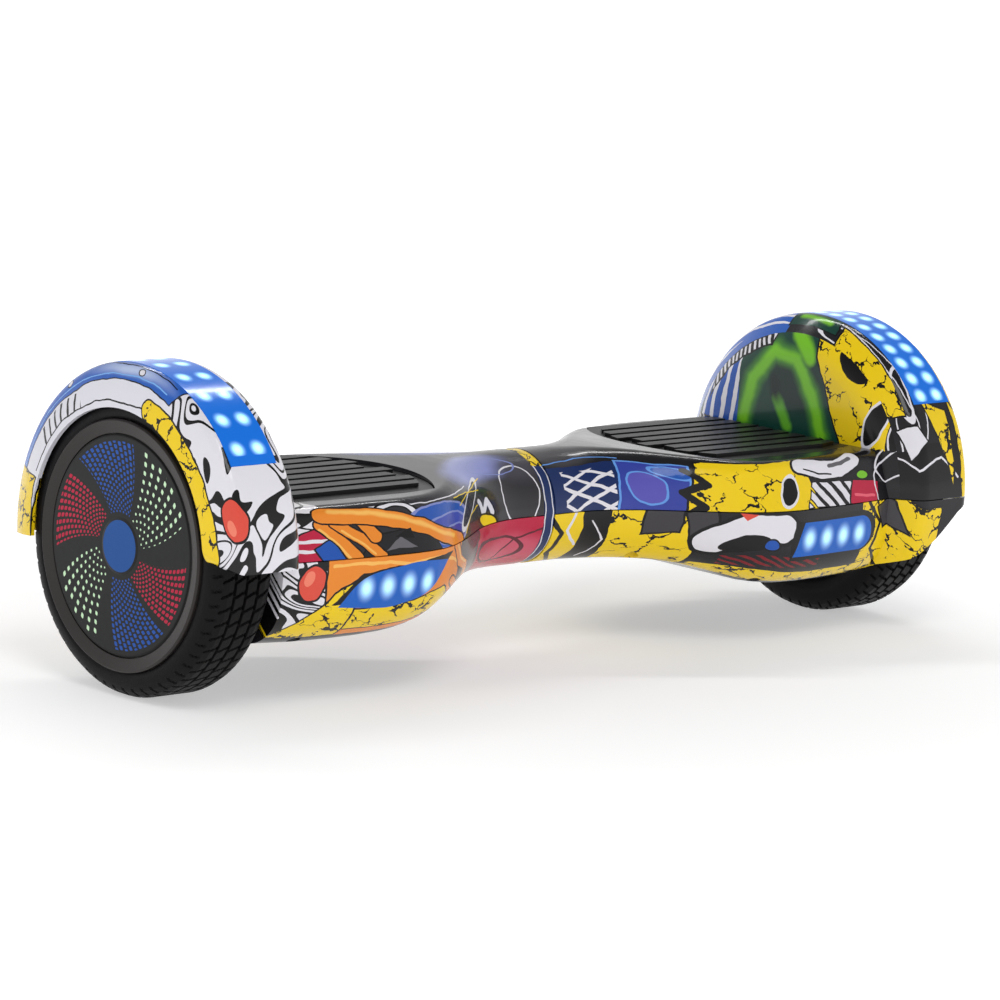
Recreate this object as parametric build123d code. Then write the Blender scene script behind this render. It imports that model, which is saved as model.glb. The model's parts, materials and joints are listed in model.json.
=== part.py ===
from build123d import *
import math
import os

os.makedirs("parts", exist_ok=True)

# A self-balancing hoverboard. All sizes are in millimetres. X runs along the wheel axle, -Y is the
# front with the headlamps, +Z is up, and the origin is on the ground under the middle of the board.
# Each half is built on the +X side; the left half is its mirror image.

# ---------------------------------------------------------------- driving dimensions
TYRE_R = 84.0
AXLE_Z = TYRE_R
AXLE_R = 8.0
AXLE_X = (206.0, 283.0)
FENDER_X = 292.0
CREST_R = 100.5
WALL = 3.0
SEAM_GAP = 0.6
RING_HALF = 4.0
RING_GAP = 0.4
BARREL_R = 33.5
BODY_END_X = 241.0
TOP_Z = 112.0
TWIST_DEG = 15.0
RUNNING = 0.05

TYRE_X = (245.0, 288.0)
TREAD_X = (254.0, 279.0)
TREAD_GROOVES_X = (258.5, 266.5, 274.5)
GROOVE = 2.0
TREAD_FLATS = 120
RIM_R = 62.0
ARCH_R = 76.0
CAP_R = 61.4
TRIM_R = (61.6, 69.6)

PAD_X = (94.0, 227.0)
PAD_Y = (-61.0, 68.0)
PAD_BASE = 3.0
PAD_RIB = 2.2
PAD_GAP = 0.5
PAD_BORDER = 6.0
PAD_TRAVEL = 1.5
RIB_COUNT = 8

TUBE_R = 17.0
TUBE_BORE_R = 13.0
TUBE_X = (-136.0, 143.0)
HUB_R = 23.0
HUB_X = (62.0, 136.0)
BUSH_R = 19.0
BUSH_LENGTH = 12.0

FLOOR_Z = 44.0
FRAME_X = (130.0, 232.0)
FRAME_HALF_Y = 56.0
FRAME_PLATE = 4.0

LED_STRIP_X = (250.0, 281.0)
LED_STRIP_DEG = (-10.0, 56.0)
LED_DROP = 2.5
LED_ROWS_X = (258.5, 272.5)
LED_HALF_X = 2.5
LED_HALF_DEG = 1.4
LED_BOARD_R = (95.6, 96.6)
LEFT_LEDS = (6, -5.5, 50.5)
RIGHT_LEDS = (9, -4.0, 53.0)

HEADLAMP_LEDS = 4
HEADLAMP_LED_PITCH = 15.0

BUTTON_POS = (163.0, 70.0)
BUTTON_R = 8.0
BUTTON_TRAVEL = 1.5
PORT_POS = (194.0, 70.0)
PORT_R = 9.0
PORT_PIN_R = 1.0
PORT_PIN_CIRCLE_R = 3.6
REAR_FACE_Y = 91.0
FLANGE_Y = 80.0
CAP_BARREL_R = 1.5
CAP_PIN_R = 0.8
CAP_PIN_Y = REAR_FACE_Y + 2.0
CAP_PIN_Z = PORT_POS[1] + PORT_R + 2.6

BOSS_POINTS = [(138, 66), (138, -66), (218, 66), (218, -66), (68, 33), (68, -33)]
BOSS_R = 5.0
BOSS_TOP = 98.0
SCREW_R = 1.6
SCREW_HEAD_R = 3.6
SCREW_HEAD_DEPTH = 9.0
UPPER_SEAM = AXLE_Z + SEAM_GAP / 2
LOWER_SEAM = AXLE_Z - SEAM_GAP / 2

PLUNGER_X = 170.0
PLUNGER_Y = (-28.0, 28.0)
PLUNGER_R = 4.0
PLUNGER_FOOT_Z = 98.5
POST_POINTS = [(142, 48), (142, -48), (214, 48), (214, -48)]
POST_R = 3.5
PEDAL_X = (138.0, 222.0)
PEDAL_Y = (-57.0, 60.0)
PEDAL_Z = (105.0, 107.3)
SENSOR_Z = 92.0
BOARD_THICK = 1.6

FOOT_POINTS = [(152, 40), (152, -40), (218, 40), (218, -40)]
CLAMP_BOLT_POINTS = [(212, 14), (212, -14), (226, 14), (226, -14)]
CLAMP_BOLT_R = 2.5
CLAMP_HALF_Y = 20.0
CLAMP_TOP = 98.0
STOP_PIN_X = 68.0
STOP_PIN_R = 3.0
STOP_SLOT_SPARE_DEG = 13.0

STATOR_X = (257.0, 277.0)
STATOR_R = 50.0
TEETH = 18
TOOTH_HALF = 2.5
COIL_HALF = 4.4
POLES = 30
MAGNET_R = 53.2
MAGNET_GAP_DEG = 0.8
BEARING_R = 14.0
BEARING_WALL = 3.0
COVER_X = (247.5, 250.5)
CAN_X = (250.5, 284.0)
CAN_R = (55.2, RIM_R)
COVER_SCREWS = 6
COVER_SCREW_R = 1.5
COVER_SCREW_CIRCLE_R = 58.4
INNER_BEARING_X = (247.5, 254.0)
OUTER_BEARING_X = (277.2, 283.4)

INTERNAL_X = (138.0, 203.0)
INTERNAL_HALF_Y = 44.0
BATTERY_TOP = 81.0

WHEEL_AXIS = Axis((0, 0, AXLE_Z), (1, 0, 0))

STATION_STEPS = 3
# Stations of the body along X: (x, half width at the seam, half width at the top edge, top Z,
# top edge radius), then the same for the lower half: (x, half width at the seam, half width at
# the bottom, bottom Z, bottom radius).
UPPER_STATIONS = [
    (RING_HALF + RING_GAP, BARREL_R, BARREL_R - 0.4, AXLE_Z + BARREL_R, BARREL_R - 1.4),
    (34.0, BARREL_R + 1.0, BARREL_R + 0.4, AXLE_Z + BARREL_R, BARREL_R - 1.4),
    (62.0, 45.0, 41.5, AXLE_Z + 33.0, 28.0),
    (88.0, 63.0, 56.0, AXLE_Z + 31.0, 20.0),
    (112.0, 79.0, 69.0, TOP_Z + 1.0, 12.0),
    (132.0, 87.5, 74.5, TOP_Z, 9.0),
    (158.0, 90.0, 76.5, TOP_Z, 8.0),
    (205.0, 87.0, 76.0, TOP_Z, 8.0),
    (BODY_END_X, 83.0, 75.0, TOP_Z, 8.0),
]
LOWER_STATIONS = [
    (RING_HALF + RING_GAP, BARREL_R, BARREL_R - 0.4, AXLE_Z - BARREL_R, BARREL_R - 1.4),
    (34.0, BARREL_R + 1.0, BARREL_R + 0.4, AXLE_Z - BARREL_R, BARREL_R - 1.4),
    (62.0, 45.0, 42.0, 51.5, 27.0),
    (88.0, 63.0, 58.0, 50.5, 25.0),
    (112.0, 79.0, 73.0, 45.0, 27.0),
    (132.0, 87.5, 81.0, 38.5, 30.0),
    (158.0, 90.0, 85.0, 35.0, 31.0),
    (205.0, 87.0, 83.5, 34.0, 31.0),
    (BODY_END_X, 83.0, 80.0, 35.0, 31.0),
]


# ---------------------------------------------------------------- helpers
def box(x_range, y_range, z_range):
    """A box from its lowest and highest corners."""
    size = [high - low for low, high in (x_range, y_range, z_range)]
    middle = [(high + low) / 2 for low, high in (x_range, y_range, z_range)]
    return Pos(*middle) * Box(*size)


def rod_x(x_range, radius, y=0.0, z=AXLE_Z):
    """A round bar along X."""
    length = x_range[1] - x_range[0]
    return Pos((x_range[0] + x_range[1]) / 2, y, z) * (Rot(0, 90, 0) * Cylinder(radius, length))


def rod_y(y_range, radius, x, z):
    """A round bar along Y."""
    length = y_range[1] - y_range[0]
    return Pos(x, (y_range[0] + y_range[1]) / 2, z) * (Rot(90, 0, 0) * Cylinder(radius, length))


def rod_z(z_range, radius, x, y):
    """A round bar along Z."""
    length = z_range[1] - z_range[0]
    return Pos(x, y, (z_range[0] + z_range[1]) / 2) * Cylinder(radius, length)


def tube_x(x_range, inner, outer):
    """A tube along X, round the wheel axis."""
    return rod_x(x_range, outer) - rod_x(x_range, inner)


def around_axle(sketch, start, end):
    """Turn an (x, r) sketch round the axle, in degrees from straight up towards the front."""
    plane = Plane(origin=(0, 0, AXLE_Z), x_dir=(1, 0, 0), z_dir=(0, -1, 0))
    turned = revolve(plane * sketch, axis=WHEEL_AXIS, revolution_arc=end - start)
    return turned.rotate(WHEEL_AXIS, start)


def corner_arc(before, corner, after, radius):
    """The arc that rounds a corner, tangent to both of its sides."""
    back = (before - corner).normalized()
    ahead = (after - corner).normalized()
    half = math.radians(back.get_angle(ahead)) / 2
    inward = (back + ahead).normalized()
    centre = corner + inward * (radius / math.sin(half))
    reach = radius / math.tan(half)
    return ThreePointArc(corner + back * reach, centre - inward * radius, corner + ahead * reach)


def body_section(station, seam_z, inset):
    """A rounded closed section across the body, from the seam to its top or its bottom."""
    x, seam_half, edge_half, edge_z, radius = station
    side = math.copysign(1, edge_z - AXLE_Z)
    edge = edge_z - side * inset
    corners = [
        Vector(-seam_half + inset, seam_z),
        Vector(-edge_half + inset, edge),
        Vector(edge_half - inset, edge),
        Vector(seam_half - inset, seam_z),
    ]
    front = corner_arc(corners[0], corners[1], corners[2], radius - inset)
    rear = corner_arc(corners[1], corners[2], corners[3], radius - inset)
    outline = [
        Line(corners[0], front @ 0),
        front,
        Line(front @ 1, rear @ 0),
        rear,
        Line(rear @ 1, corners[3]),
        Line(corners[3], corners[0]),
    ]
    plane = Plane(origin=(x, 0, 0), x_dir=(0, 1, 0), z_dir=(1, 0, 0))
    return plane * make_face(outline)


def slope(stations, index, column):
    """Slope of one station value along X, from the stations on both sides."""
    before = stations[max(index - 1, 0)]
    after = stations[min(index + 1, len(stations) - 1)]
    return (after[column] - before[column]) / (after[0] - before[0])


def refine(stations):
    """Put stations between the given ones, on a smooth cubic through each value."""
    fine = []
    for index in range(len(stations) - 1):
        low, high = stations[index], stations[index + 1]
        span = high[0] - low[0]
        for step in range(STATION_STEPS):
            t = step / STATION_STEPS
            values = [low[0] + span * t]
            for column in range(1, len(low)):
                rise = high[column] - low[column]
                start = slope(stations, index, column) * span
                end = slope(stations, index + 1, column) * span
                bend = t * (1 - t) * ((start - rise) * (1 - t) - (end - rise) * t)
                values.append(low[column] + rise * t + bend)
            fine.append(tuple(values))
    fine.append(stations[-1])
    return fine


def body_solid(stations, seam_z, inset, ends=None):
    """The lofted half body, moved in from its outer face by an inset."""
    chosen = refine(stations)
    if ends:
        chosen[0] = (ends[0],) + chosen[0][1:]
        chosen[-1] = (ends[1],) + chosen[-1][1:]
    return loft([body_section(station, seam_z, inset) for station in chosen], ruled=True)


def fender_profile():
    """The outside of the wheel fender, as x along the axle and r from the axle."""
    outline = [
        Line((229, 0), (229.5, 74)),
        Spline((229.5, 74), (233, 85), (241, 95), (252, CREST_R), tangents=[(0.1, 1), (1, 0)]),
        Line((252, CREST_R), (279, CREST_R)),
        Spline((279, CREST_R), (287, 94), (FENDER_X, 76), tangents=[(1, 0), (0.1, -1)]),
        Polyline((FENDER_X, 76), (FENDER_X, 0), (229, 0)),
    ]
    return make_face(outline)


def well_profile():
    """The space for the wheel inside the fender, with the arch that it shows through."""
    inner = CREST_R - WALL - 0.3
    return make_face(Polyline(
        (BODY_END_X, 0), (BODY_END_X, 88), (245.5, 93), (253, inner), (279, inner), (285, 91),
        (289.2, 82), (289.2, ARCH_R), (300, ARCH_R), (300, 0), (BODY_END_X, 0),
    ))


def fender_cavity_profile():
    """The hollow between the fender's inboard wall and the wall beside the tyre."""
    return make_face(Polyline((232, 0), (232, 73), (236, 84), (238, 86), (238, 0), (232, 0)))


def strip_block(x_range, r_range, degrees):
    """A curved bar that follows the crest of the fender."""
    outline = Pos(sum(x_range) / 2, sum(r_range) / 2) * Rectangle(
        x_range[1] - x_range[0], r_range[1] - r_range[0]
    )
    return around_axle(outline, *degrees)


def pad_outline(grow):
    """Plan of the foot pad: straight beside the fender, drawn in to an arc beside the barrel."""
    front = PAD_Y[0] - grow
    rear = PAD_Y[1] + grow
    inner = PAD_X[0] - grow
    outer = PAD_X[1] + grow
    return make_face([
        Polyline((inner + 22, front), (outer - 32, front), (outer, front + 9), (outer, rear - 8),
                 (outer - 8, rear), (inner + 30, rear)),
        ThreePointArc((inner + 30, rear), (inner, -4), (inner + 22, front)),
    ])


def pill_outline():
    """Headlamp outline on the right half: one end round, the other cut on a slant."""
    return make_face([
        Line((207.5, 76), (156, 76)),
        Line((156, 76), (150, 55)),
        Line((150, 55), (207.5, 55)),
        ThreePointArc((207.5, 55), (218, 65.5), (207.5, 76)),
    ])


def leaf_outline():
    """Headlamp outline on the left half: a leaf with its tips low outboard and high inboard."""
    return make_face([
        Spline((203, 57), (187, 72), (164, 77), (122, 77), tangents=[(-1, 1.1), (-1, -0.1)]),
        Spline((122, 77), (137, 61), (156, 56), (203, 57), tangents=[(1, -1.2), (1, 0.1)]),
    ])


def through_front(outline, y_range):
    """Push a lamp outline, drawn in X and Z, through the front wall."""
    plane = Plane(origin=(0, y_range[1], 0), x_dir=(1, 0, 0), z_dir=(0, -1, 0))
    return extrude(plane * outline, amount=y_range[1] - y_range[0])


# ---------------------------------------------------------------- casing
def boss_rib(x, y, z_range):
    """A web that ties a screw boss to the side wall."""
    reach = math.copysign(22, y)
    return box((x - 1.2, x + 1.2), tuple(sorted((y, y + reach))), z_range)


def upper_shell():
    """Top casing of one half: body, fender over the wheel, pad opening and screw bosses."""
    outside = body_solid(UPPER_STATIONS, UPPER_SEAM, 0)
    inside = body_solid(UPPER_STATIONS, UPPER_SEAM - 1, WALL, (0, BODY_END_X - WALL))
    fender = around_axle(fender_profile(), -95, 90)
    fender = fender & box((220, 300), (-120, 120), (UPPER_SEAM, 200))
    tip = around_axle(fender_profile(), -95, -88) & box((244, 300), (0, 120), (60, 90))
    shell = outside + fender + tip
    shell -= inside
    shell -= around_axle(fender_cavity_profile(), -89.7, 89.7)
    shell -= around_axle(well_profile(), -100, 100)
    corner = box((280, 300), (-120, 0), (60, AXLE_Z + 12)) - rod_y((-120, 0), 12, 280, AXLE_Z + 12)
    shell -= corner
    shell -= extrude(Pos(0, 0, 100) * pad_outline(PAD_GAP), amount=30)
    lamp_x = (LED_STRIP_X[0] - 0.2, LED_STRIP_X[1] + 0.2)
    lamp_deg = (LED_STRIP_DEG[0] - 0.1, LED_STRIP_DEG[1] + 0.1)
    shell -= strip_block(lamp_x, (90, 110), lamp_deg)
    shell -= rod_x((BODY_END_X - 8, BODY_END_X + 8), AXLE_R + 4)
    for x, y in BOSS_POINTS:
        post = rod_z((UPPER_SEAM, BOSS_TOP), BOSS_R, x, y)
        post += boss_rib(x, y, (UPPER_SEAM + 2, BOSS_TOP))
        shell += post & outside
        shell -= rod_z((UPPER_SEAM - 1, BOSS_TOP - 3), SCREW_R, x, y)
    return shell


def lower_outside(wraps):
    """Outside of the bottom casing; one half carries on in front of its tyre."""
    outside = body_solid(LOWER_STATIONS, LOWER_SEAM, 0)
    if wraps:
        band = fender_profile() - well_profile() - Pos(260, 41) * Rectangle(80, 82)
        edge = make_face(Polyline(
            (231, LOWER_SEAM), (290, LOWER_SEAM), (277, 75), (262, 59), (250, 49), (231, 41),
            (231, LOWER_SEAM),
        ))
        outside += around_axle(band, 88, 135) & through_front(edge, (-120, -40))
    return outside


def bottom_hole_z(x, y):
    """Height of the underside near a screw."""
    return 36.0 if x > 100 else 53.0


def lower_shell(outline, wraps, rear_holes):
    """Bottom casing of one half, with its lamp window, screw bosses and rear holes."""
    outside = lower_outside(wraps)
    shell = outside - body_solid(LOWER_STATIONS, LOWER_SEAM + 1, WALL, (0, BODY_END_X - WALL))
    shell -= rod_x((BODY_END_X - 8, BODY_END_X + 8), AXLE_R + 4)
    shell -= through_front(outline, (-120, -60))
    for x, y in BOSS_POINTS:
        shell += rod_z((30, LOWER_SEAM), BOSS_R, x, y) & outside
        shell -= rod_z((20, LOWER_SEAM + 1), SCREW_R + 0.4, x, y)
        shell -= rod_z((20, bottom_hole_z(x, y) + SCREW_HEAD_DEPTH), SCREW_HEAD_R + 0.4, x, y)
    for x, z, radius in rear_holes:
        shell -= rod_y((60, 120), radius, x, z)
    return shell


def shell_screws():
    """Screws that hold the two casings together from below."""
    screws = []
    for x, y in BOSS_POINTS:
        head_z = bottom_hole_z(x, y) + SCREW_HEAD_DEPTH
        screw = rod_z((head_z - 2.4, head_z), SCREW_HEAD_R, x, y)
        screw += rod_z((head_z, BOSS_TOP - 3), SCREW_R, x, y)
        screw -= box((x - 2.2, x + 2.2), (y - 0.5, y + 0.5), (head_z - 3, head_z - 1.2))
        screw -= box((x - 0.5, x + 0.5), (y - 2.2, y + 2.2), (head_z - 3, head_z - 1.2))
        screws.append(screw)
    return Compound(children=[solid for screw in screws for solid in screw.solids()])


def headlamp_lens(outline, wraps):
    """Clear window that follows the front wall."""
    lens = lower_outside(wraps) & through_front(outline, (-120, -60))
    return lens - body_solid(LOWER_STATIONS, LOWER_SEAM + 1, WALL - 0.6, (0, BODY_END_X))


def headlamp_board(outline):
    """Lamp circuit board with its row of four light emitters."""
    middle = outline.bounding_box().center()
    board = box((middle.X - 30, middle.X + 30), (-79, -77.4), (middle.Y - 8, middle.Y + 8))
    for index in range(HEADLAMP_LEDS):
        x = middle.X + (index - (HEADLAMP_LEDS - 1) / 2) * HEADLAMP_LED_PITCH
        board += box((x - 2.5, x + 2.5), (-80.5, -79), (middle.Y - 2.5, middle.Y + 2.5))
    return board


def fender_lamp():
    """Curved light strip let into the crest of the fender."""
    return strip_block(LED_STRIP_X, (CREST_R - LED_DROP, CREST_R), LED_STRIP_DEG)


def fender_led_board(count, first, last):
    """Flexible board under the light strip, with two rows of light emitters."""
    low, high = LED_STRIP_DEG
    board = strip_block((LED_STRIP_X[0] + 3.5, LED_STRIP_X[1] - 2.5), LED_BOARD_R,
                        (low - 1, high + 1))
    for middle in LED_ROWS_X:
        for index in range(count):
            at = first + (last - first) * index / (count - 1)
            board += strip_block((middle - LED_HALF_X, middle + LED_HALF_X),
                                 (LED_BOARD_R[1] - 0.1, LED_BOARD_R[1] + 1),
                                 (at - LED_HALF_DEG, at + LED_HALF_DEG))
    return board


# ---------------------------------------------------------------- foot pad
def foot_pad():
    """Rubber pad with raised ribs, a lip and two plungers that reach the sensor board."""
    pad = extrude(Pos(0, 0, TOP_Z - PAD_BASE) * pad_outline(0), amount=PAD_BASE)
    inner = extrude(Pos(0, 0, TOP_Z - 0.1) * pad_outline(-PAD_BORDER), amount=PAD_RIB + 0.1)
    pitch = (PAD_Y[1] - PAD_Y[0] - 18) / RIB_COUNT
    for index in range(RIB_COUNT):
        y = PAD_Y[0] + 9 + (index + 0.5) * pitch
        start = PAD_X[0] + (6 if index % 2 else 16)
        rib = box((start, PAD_X[1]), (y - pitch * 0.33, y + pitch * 0.33), (TOP_Z - 0.1, TOP_Z + 5))
        pad += rib & inner
    for y in PLUNGER_Y:
        pad += rod_z((PLUNGER_FOOT_Z, TOP_Z - PAD_BASE + 0.5), PLUNGER_R, PLUNGER_X, y)
    return pad


def pedal_plate():
    """Stiff plate under the foot pad, on four posts from the frame."""
    plate = box(PEDAL_X, PEDAL_Y, PEDAL_Z)
    for y in PLUNGER_Y:
        plate -= rod_z((100, 110), PLUNGER_R + 1.5, PLUNGER_X, y)
    for x, y in POST_POINTS:
        plate += rod_z((FLOOR_Z + FRAME_PLATE, PEDAL_Z[0] + 0.5), POST_R, x, y)
    return plate


def sensor_board():
    """Balance sensor board, hung under the pedal plate, with a light gate at each plunger."""
    top = SENSOR_Z + BOARD_THICK
    board = box((150, 192), (-42, 42), (SENSOR_Z, top))
    for y in PLUNGER_Y:
        board += box((PLUNGER_X - 8, PLUNGER_X + 8), (y - 4, y + 4), (top, top + 2.8))
    for x in (154, 188):
        for y in (-38, 38):
            board += rod_z((top, PEDAL_Z[0]), 2.5, x, y)
    return board


# ---------------------------------------------------------------- frame and pivot
def chassis_frame(bore_r, stop_slot):
    """Cast frame: floor plate, hub round the pivot tube, and the cradle under the axle."""
    frame = box(FRAME_X, (-FRAME_HALF_Y, FRAME_HALF_Y), (FLOOR_Z, FLOOR_Z + FRAME_PLATE))
    frame += box((FRAME_X[0], FRAME_X[0] + 6), (-44, 44), (FLOOR_Z, AXLE_Z))
    frame += rod_x(HUB_X, HUB_R)
    cradle_y = (-CLAMP_HALF_Y, CLAMP_HALF_Y)
    frame += box((AXLE_X[0], FRAME_X[1]), cradle_y, (FLOOR_Z, AXLE_Z - 0.1))
    inside = body_solid(LOWER_STATIONS, AXLE_Z, WALL)
    for x, y in FOOT_POINTS:
        frame += rod_z((30, FLOOR_Z + 1), 5, x, y) & inside
    for y in (-FRAME_HALF_Y, FRAME_HALF_Y - FRAME_PLATE):
        frame += box(FRAME_X, (y, y + FRAME_PLATE), (FLOOR_Z, FLOOR_Z + 12))
    frame -= rod_x((HUB_X[0] - 1, HUB_X[1] + 1), bore_r)
    frame -= rod_x((AXLE_X[0] - 1, FRAME_X[1] + 1), AXLE_R)
    for x, y in CLAMP_BOLT_POINTS:
        frame -= rod_z((AXLE_Z - 20, AXLE_Z + 1), CLAMP_BOLT_R, x, y)
    if stop_slot:
        half = math.radians(TWIST_DEG + STOP_SLOT_SPARE_DEG)
        reach = HUB_R + 6
        wedge = make_face(Polyline(
            (0, 0), (-reach * math.tan(half), reach), (reach * math.tan(half), reach), (0, 0)
        ))
        plane = Plane(origin=(HUB_X[0] - 1, 0, AXLE_Z), x_dir=(0, 1, 0), z_dir=(1, 0, 0))
        frame -= extrude(plane * wedge, amount=14)
    return frame


def axle_clamp():
    """Clamp block that holds the motor axle down in its cradle."""
    clamp_y = (-CLAMP_HALF_Y, CLAMP_HALF_Y)
    clamp = box((AXLE_X[0], FRAME_X[1]), clamp_y, (AXLE_Z + 0.1, CLAMP_TOP))
    clamp -= rod_x((AXLE_X[0] - 1, FRAME_X[1] + 1), AXLE_R)
    for x, y in CLAMP_BOLT_POINTS:
        clamp -= rod_z((AXLE_Z - 1, CLAMP_TOP + 1), CLAMP_BOLT_R, x, y)
    return clamp


def clamp_bolts():
    """Four socket-head bolts through the axle clamp."""
    bolts = []
    for x, y in CLAMP_BOLT_POINTS:
        bolt = rod_z((AXLE_Z - 18, CLAMP_TOP), CLAMP_BOLT_R, x, y)
        bolt += rod_z((CLAMP_TOP, CLAMP_TOP + 4), CLAMP_BOLT_R + 1.7, x, y)
        bolt -= Pos(x, y, CLAMP_TOP + 3) * extrude(RegularPolygon(2, 6), amount=2)
        bolts.append(bolt)
    return Compound(children=[solid for bolt in bolts for solid in bolt.solids()])


def pivot_tube():
    """Steel tube that joins the halves and lets them twist."""
    tube = tube_x(TUBE_X, TUBE_BORE_R, TUBE_R)
    tube -= tube_x((HUB_X[1] + 1.5, HUB_X[1] + 3.3), TUBE_R - 1, TUBE_R + 1)
    tube -= rod_z((AXLE_Z, AXLE_Z + 30), STOP_PIN_R, STOP_PIN_X, 0)
    return tube


def twist_stop_pin():
    """Pin that limits the twist between the halves."""
    return rod_z((AXLE_Z + 11, AXLE_Z + HUB_R - 1), STOP_PIN_R, STOP_PIN_X, 0)


def pivot_bushes():
    """Two plain bushes between the tube and the right frame."""
    bushes = []
    for start in (HUB_X[0] + 14, HUB_X[1] - BUSH_LENGTH):
        bushes += tube_x((start, start + BUSH_LENGTH), TUBE_R + RUNNING, BUSH_R).solids()
    return Compound(children=bushes)


def pivot_circlip():
    """Open spring ring in the tube's groove."""
    ring = tube_x((HUB_X[1] + 1.6, HUB_X[1] + 3.2), TUBE_R - 1, TUBE_R + 4)
    return ring - box((HUB_X[1], HUB_X[1] + 6), (-4, 4), (AXLE_Z - 30, AXLE_Z))


def pivot_trim_ring():
    """Ring that covers the joint between the halves, with a spigot in the left barrel."""
    ring = tube_x((-RING_HALF, RING_HALF), BARREL_R - 5, BARREL_R)
    ring += tube_x((-RING_HALF - 8, -RING_HALF), BARREL_R - 5, BARREL_R - WALL - 0.3)
    return fillet(ring.edges().filter_by(GeomType.CIRCLE).sort_by(SortBy.RADIUS)[-2:], 0.5)


# ---------------------------------------------------------------- wheel
def motor_axle():
    """Fixed motor axle, flattened where the clamp holds it."""
    axle = rod_x(AXLE_X, AXLE_R)
    return axle - rod_x((AXLE_X[1] - 14, AXLE_X[1] + 1), 2)


def tooth_angles():
    """Angles of the stator teeth."""
    return [index * 360 / TEETH for index in range(TEETH)]


def turned(shape, angle):
    """Turn a shape round the wheel axis."""
    return shape.rotate(WHEEL_AXIS, angle)


def motor_stator():
    """Laminated core with its teeth."""
    core = rod_x(STATOR_X, 28)
    shoe = around_axle(Pos(sum(STATOR_X) / 2, STATOR_R - 1.5) * Rectangle(20, 3), -8, 8)
    tooth_y = (-TOOTH_HALF, TOOTH_HALF)
    tooth = box(STATOR_X, tooth_y, (AXLE_Z + 20, AXLE_Z + STATOR_R - 1)) + shoe
    for angle in tooth_angles():
        core += turned(tooth, angle)
    return core - rod_x((STATOR_X[0] - 1, STATOR_X[1] + 1), AXLE_R)


def motor_windings():
    """Copper coil round each tooth."""
    coil_x = (STATOR_X[0] - 3, STATOR_X[1] + 3)
    coil = box(coil_x, (-COIL_HALF, COIL_HALF), (AXLE_Z + 31, AXLE_Z + 45))
    coil -= box(STATOR_X, (-TOOTH_HALF, TOOTH_HALF), (AXLE_Z + 20, AXLE_Z + 60))
    coils = [turned(coil, angle) for angle in tooth_angles()]
    return Compound(children=[solid for one in coils for solid in one.solids()])


def magnet_ring():
    """Permanent magnets round the inside of the motor can."""
    step = 360 / POLES
    bar = Pos(sum(STATOR_X) / 2, MAGNET_R) * Rectangle(22, 3.99)
    block = around_axle(bar, 0, step - MAGNET_GAP_DEG)
    blocks = [turned(block, index * step) for index in range(POLES)]
    return Compound(children=[solid for one in blocks for solid in one.solids()])


def screw_circle(shape):
    """Copies of a shape, drawn on the wheel axis, at each screw of the motor cover."""
    step = 360 / COVER_SCREWS
    return [turned(Pos(0, 0, COVER_SCREW_CIRCLE_R) * shape, index * step)
            for index in range(COVER_SCREWS)]


def rotor_shell():
    """Motor can that is also the wheel's rim, with the outer bearing seat."""
    shell = tube_x(CAN_X, *CAN_R)
    shell += rod_x((CAN_X[1] - 3, CAN_X[1]), 60)
    shell += rod_x((CAN_X[1] - 6, CAN_X[1]), BEARING_R + BEARING_WALL)
    shell -= rod_x((CAN_X[1] - 7, OUTER_BEARING_X[1]), BEARING_R)
    for hole in screw_circle(rod_x((249, 262), COVER_SCREW_R)):
        shell -= hole
    return shell


def motor_side_cover():
    """Inboard cover of the motor, with the inner bearing seat and the holes for its screws."""
    cover = tube_x(COVER_X, BEARING_R, RIM_R)
    cover += tube_x(INNER_BEARING_X, BEARING_R, BEARING_R + BEARING_WALL)
    for hole in screw_circle(rod_x((COVER_X[0] - 1, COVER_X[1] + 1), COVER_SCREW_R)):
        cover -= hole
    return cover


def cover_screws():
    """Screws that close the motor."""
    screw = rod_x((COVER_X[0], COVER_X[1] + 9.5), COVER_SCREW_R)
    screw += rod_x((COVER_X[0] - 1.5, COVER_X[0]), COVER_SCREW_R + 1.3)
    return Compound(children=[solid for one in screw_circle(screw) for solid in one.solids()])


def hub_bearings():
    """Two bearings that carry the wheel on the axle."""
    bearings = []
    for x_range in (INNER_BEARING_X, OUTER_BEARING_X):
        bearings += tube_x(x_range, AXLE_R + RUNNING, BEARING_R).solids()
    return Compound(children=bearings)


def tread_land(x_range):
    """One band of tread blocks round the tyre, each block with a flat top."""
    tops = RegularPolygon(TYRE_R, TREAD_FLATS, major_radius=False, rotation=180 / TREAD_FLATS)
    band = extrude(tops, amount=x_range[1] - x_range[0])
    band = Pos(x_range[0], 0, AXLE_Z) * (Rot(0, 90, 0) * band)
    return band - rod_x((x_range[0] - 1, x_range[1] + 1), TYRE_R - GROOVE - 0.5)


def tyre():
    """Solid rubber tyre with round shoulders, and bands of tread between grooves."""
    low, high = TYRE_X
    shoulder = TYRE_R - 0.1
    root = TYRE_R - GROOVE
    outline = make_face([
        Polyline((low + 5.5, RIM_R), (low + 2, 66), (low, 72)),
        Spline((low, 72), (low + 2.5, 80), (TREAD_X[0], shoulder), tangents=[(0, 1), (1, 0)]),
        Polyline((TREAD_X[0], shoulder), (TREAD_X[0], root), (TREAD_X[1], root),
                 (TREAD_X[1], shoulder)),
        Spline((TREAD_X[1], shoulder), (high - 2.5, 80), (high, 73), tangents=[(1, 0), (0, -1)]),
        Polyline((high, 73), (high - 1, 69.9), (284, 69.9), (284, RIM_R), (low + 5.5, RIM_R)),
    ])
    body = around_axle(outline, 0, 360)
    starts = [TREAD_X[0]] + [x + GROOVE / 2 for x in TREAD_GROOVES_X]
    ends = [x - GROOVE / 2 for x in TREAD_GROOVES_X] + [TREAD_X[1]]
    for start, end in zip(starts, ends):
        body += tread_land((start, end))
    return body


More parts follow.
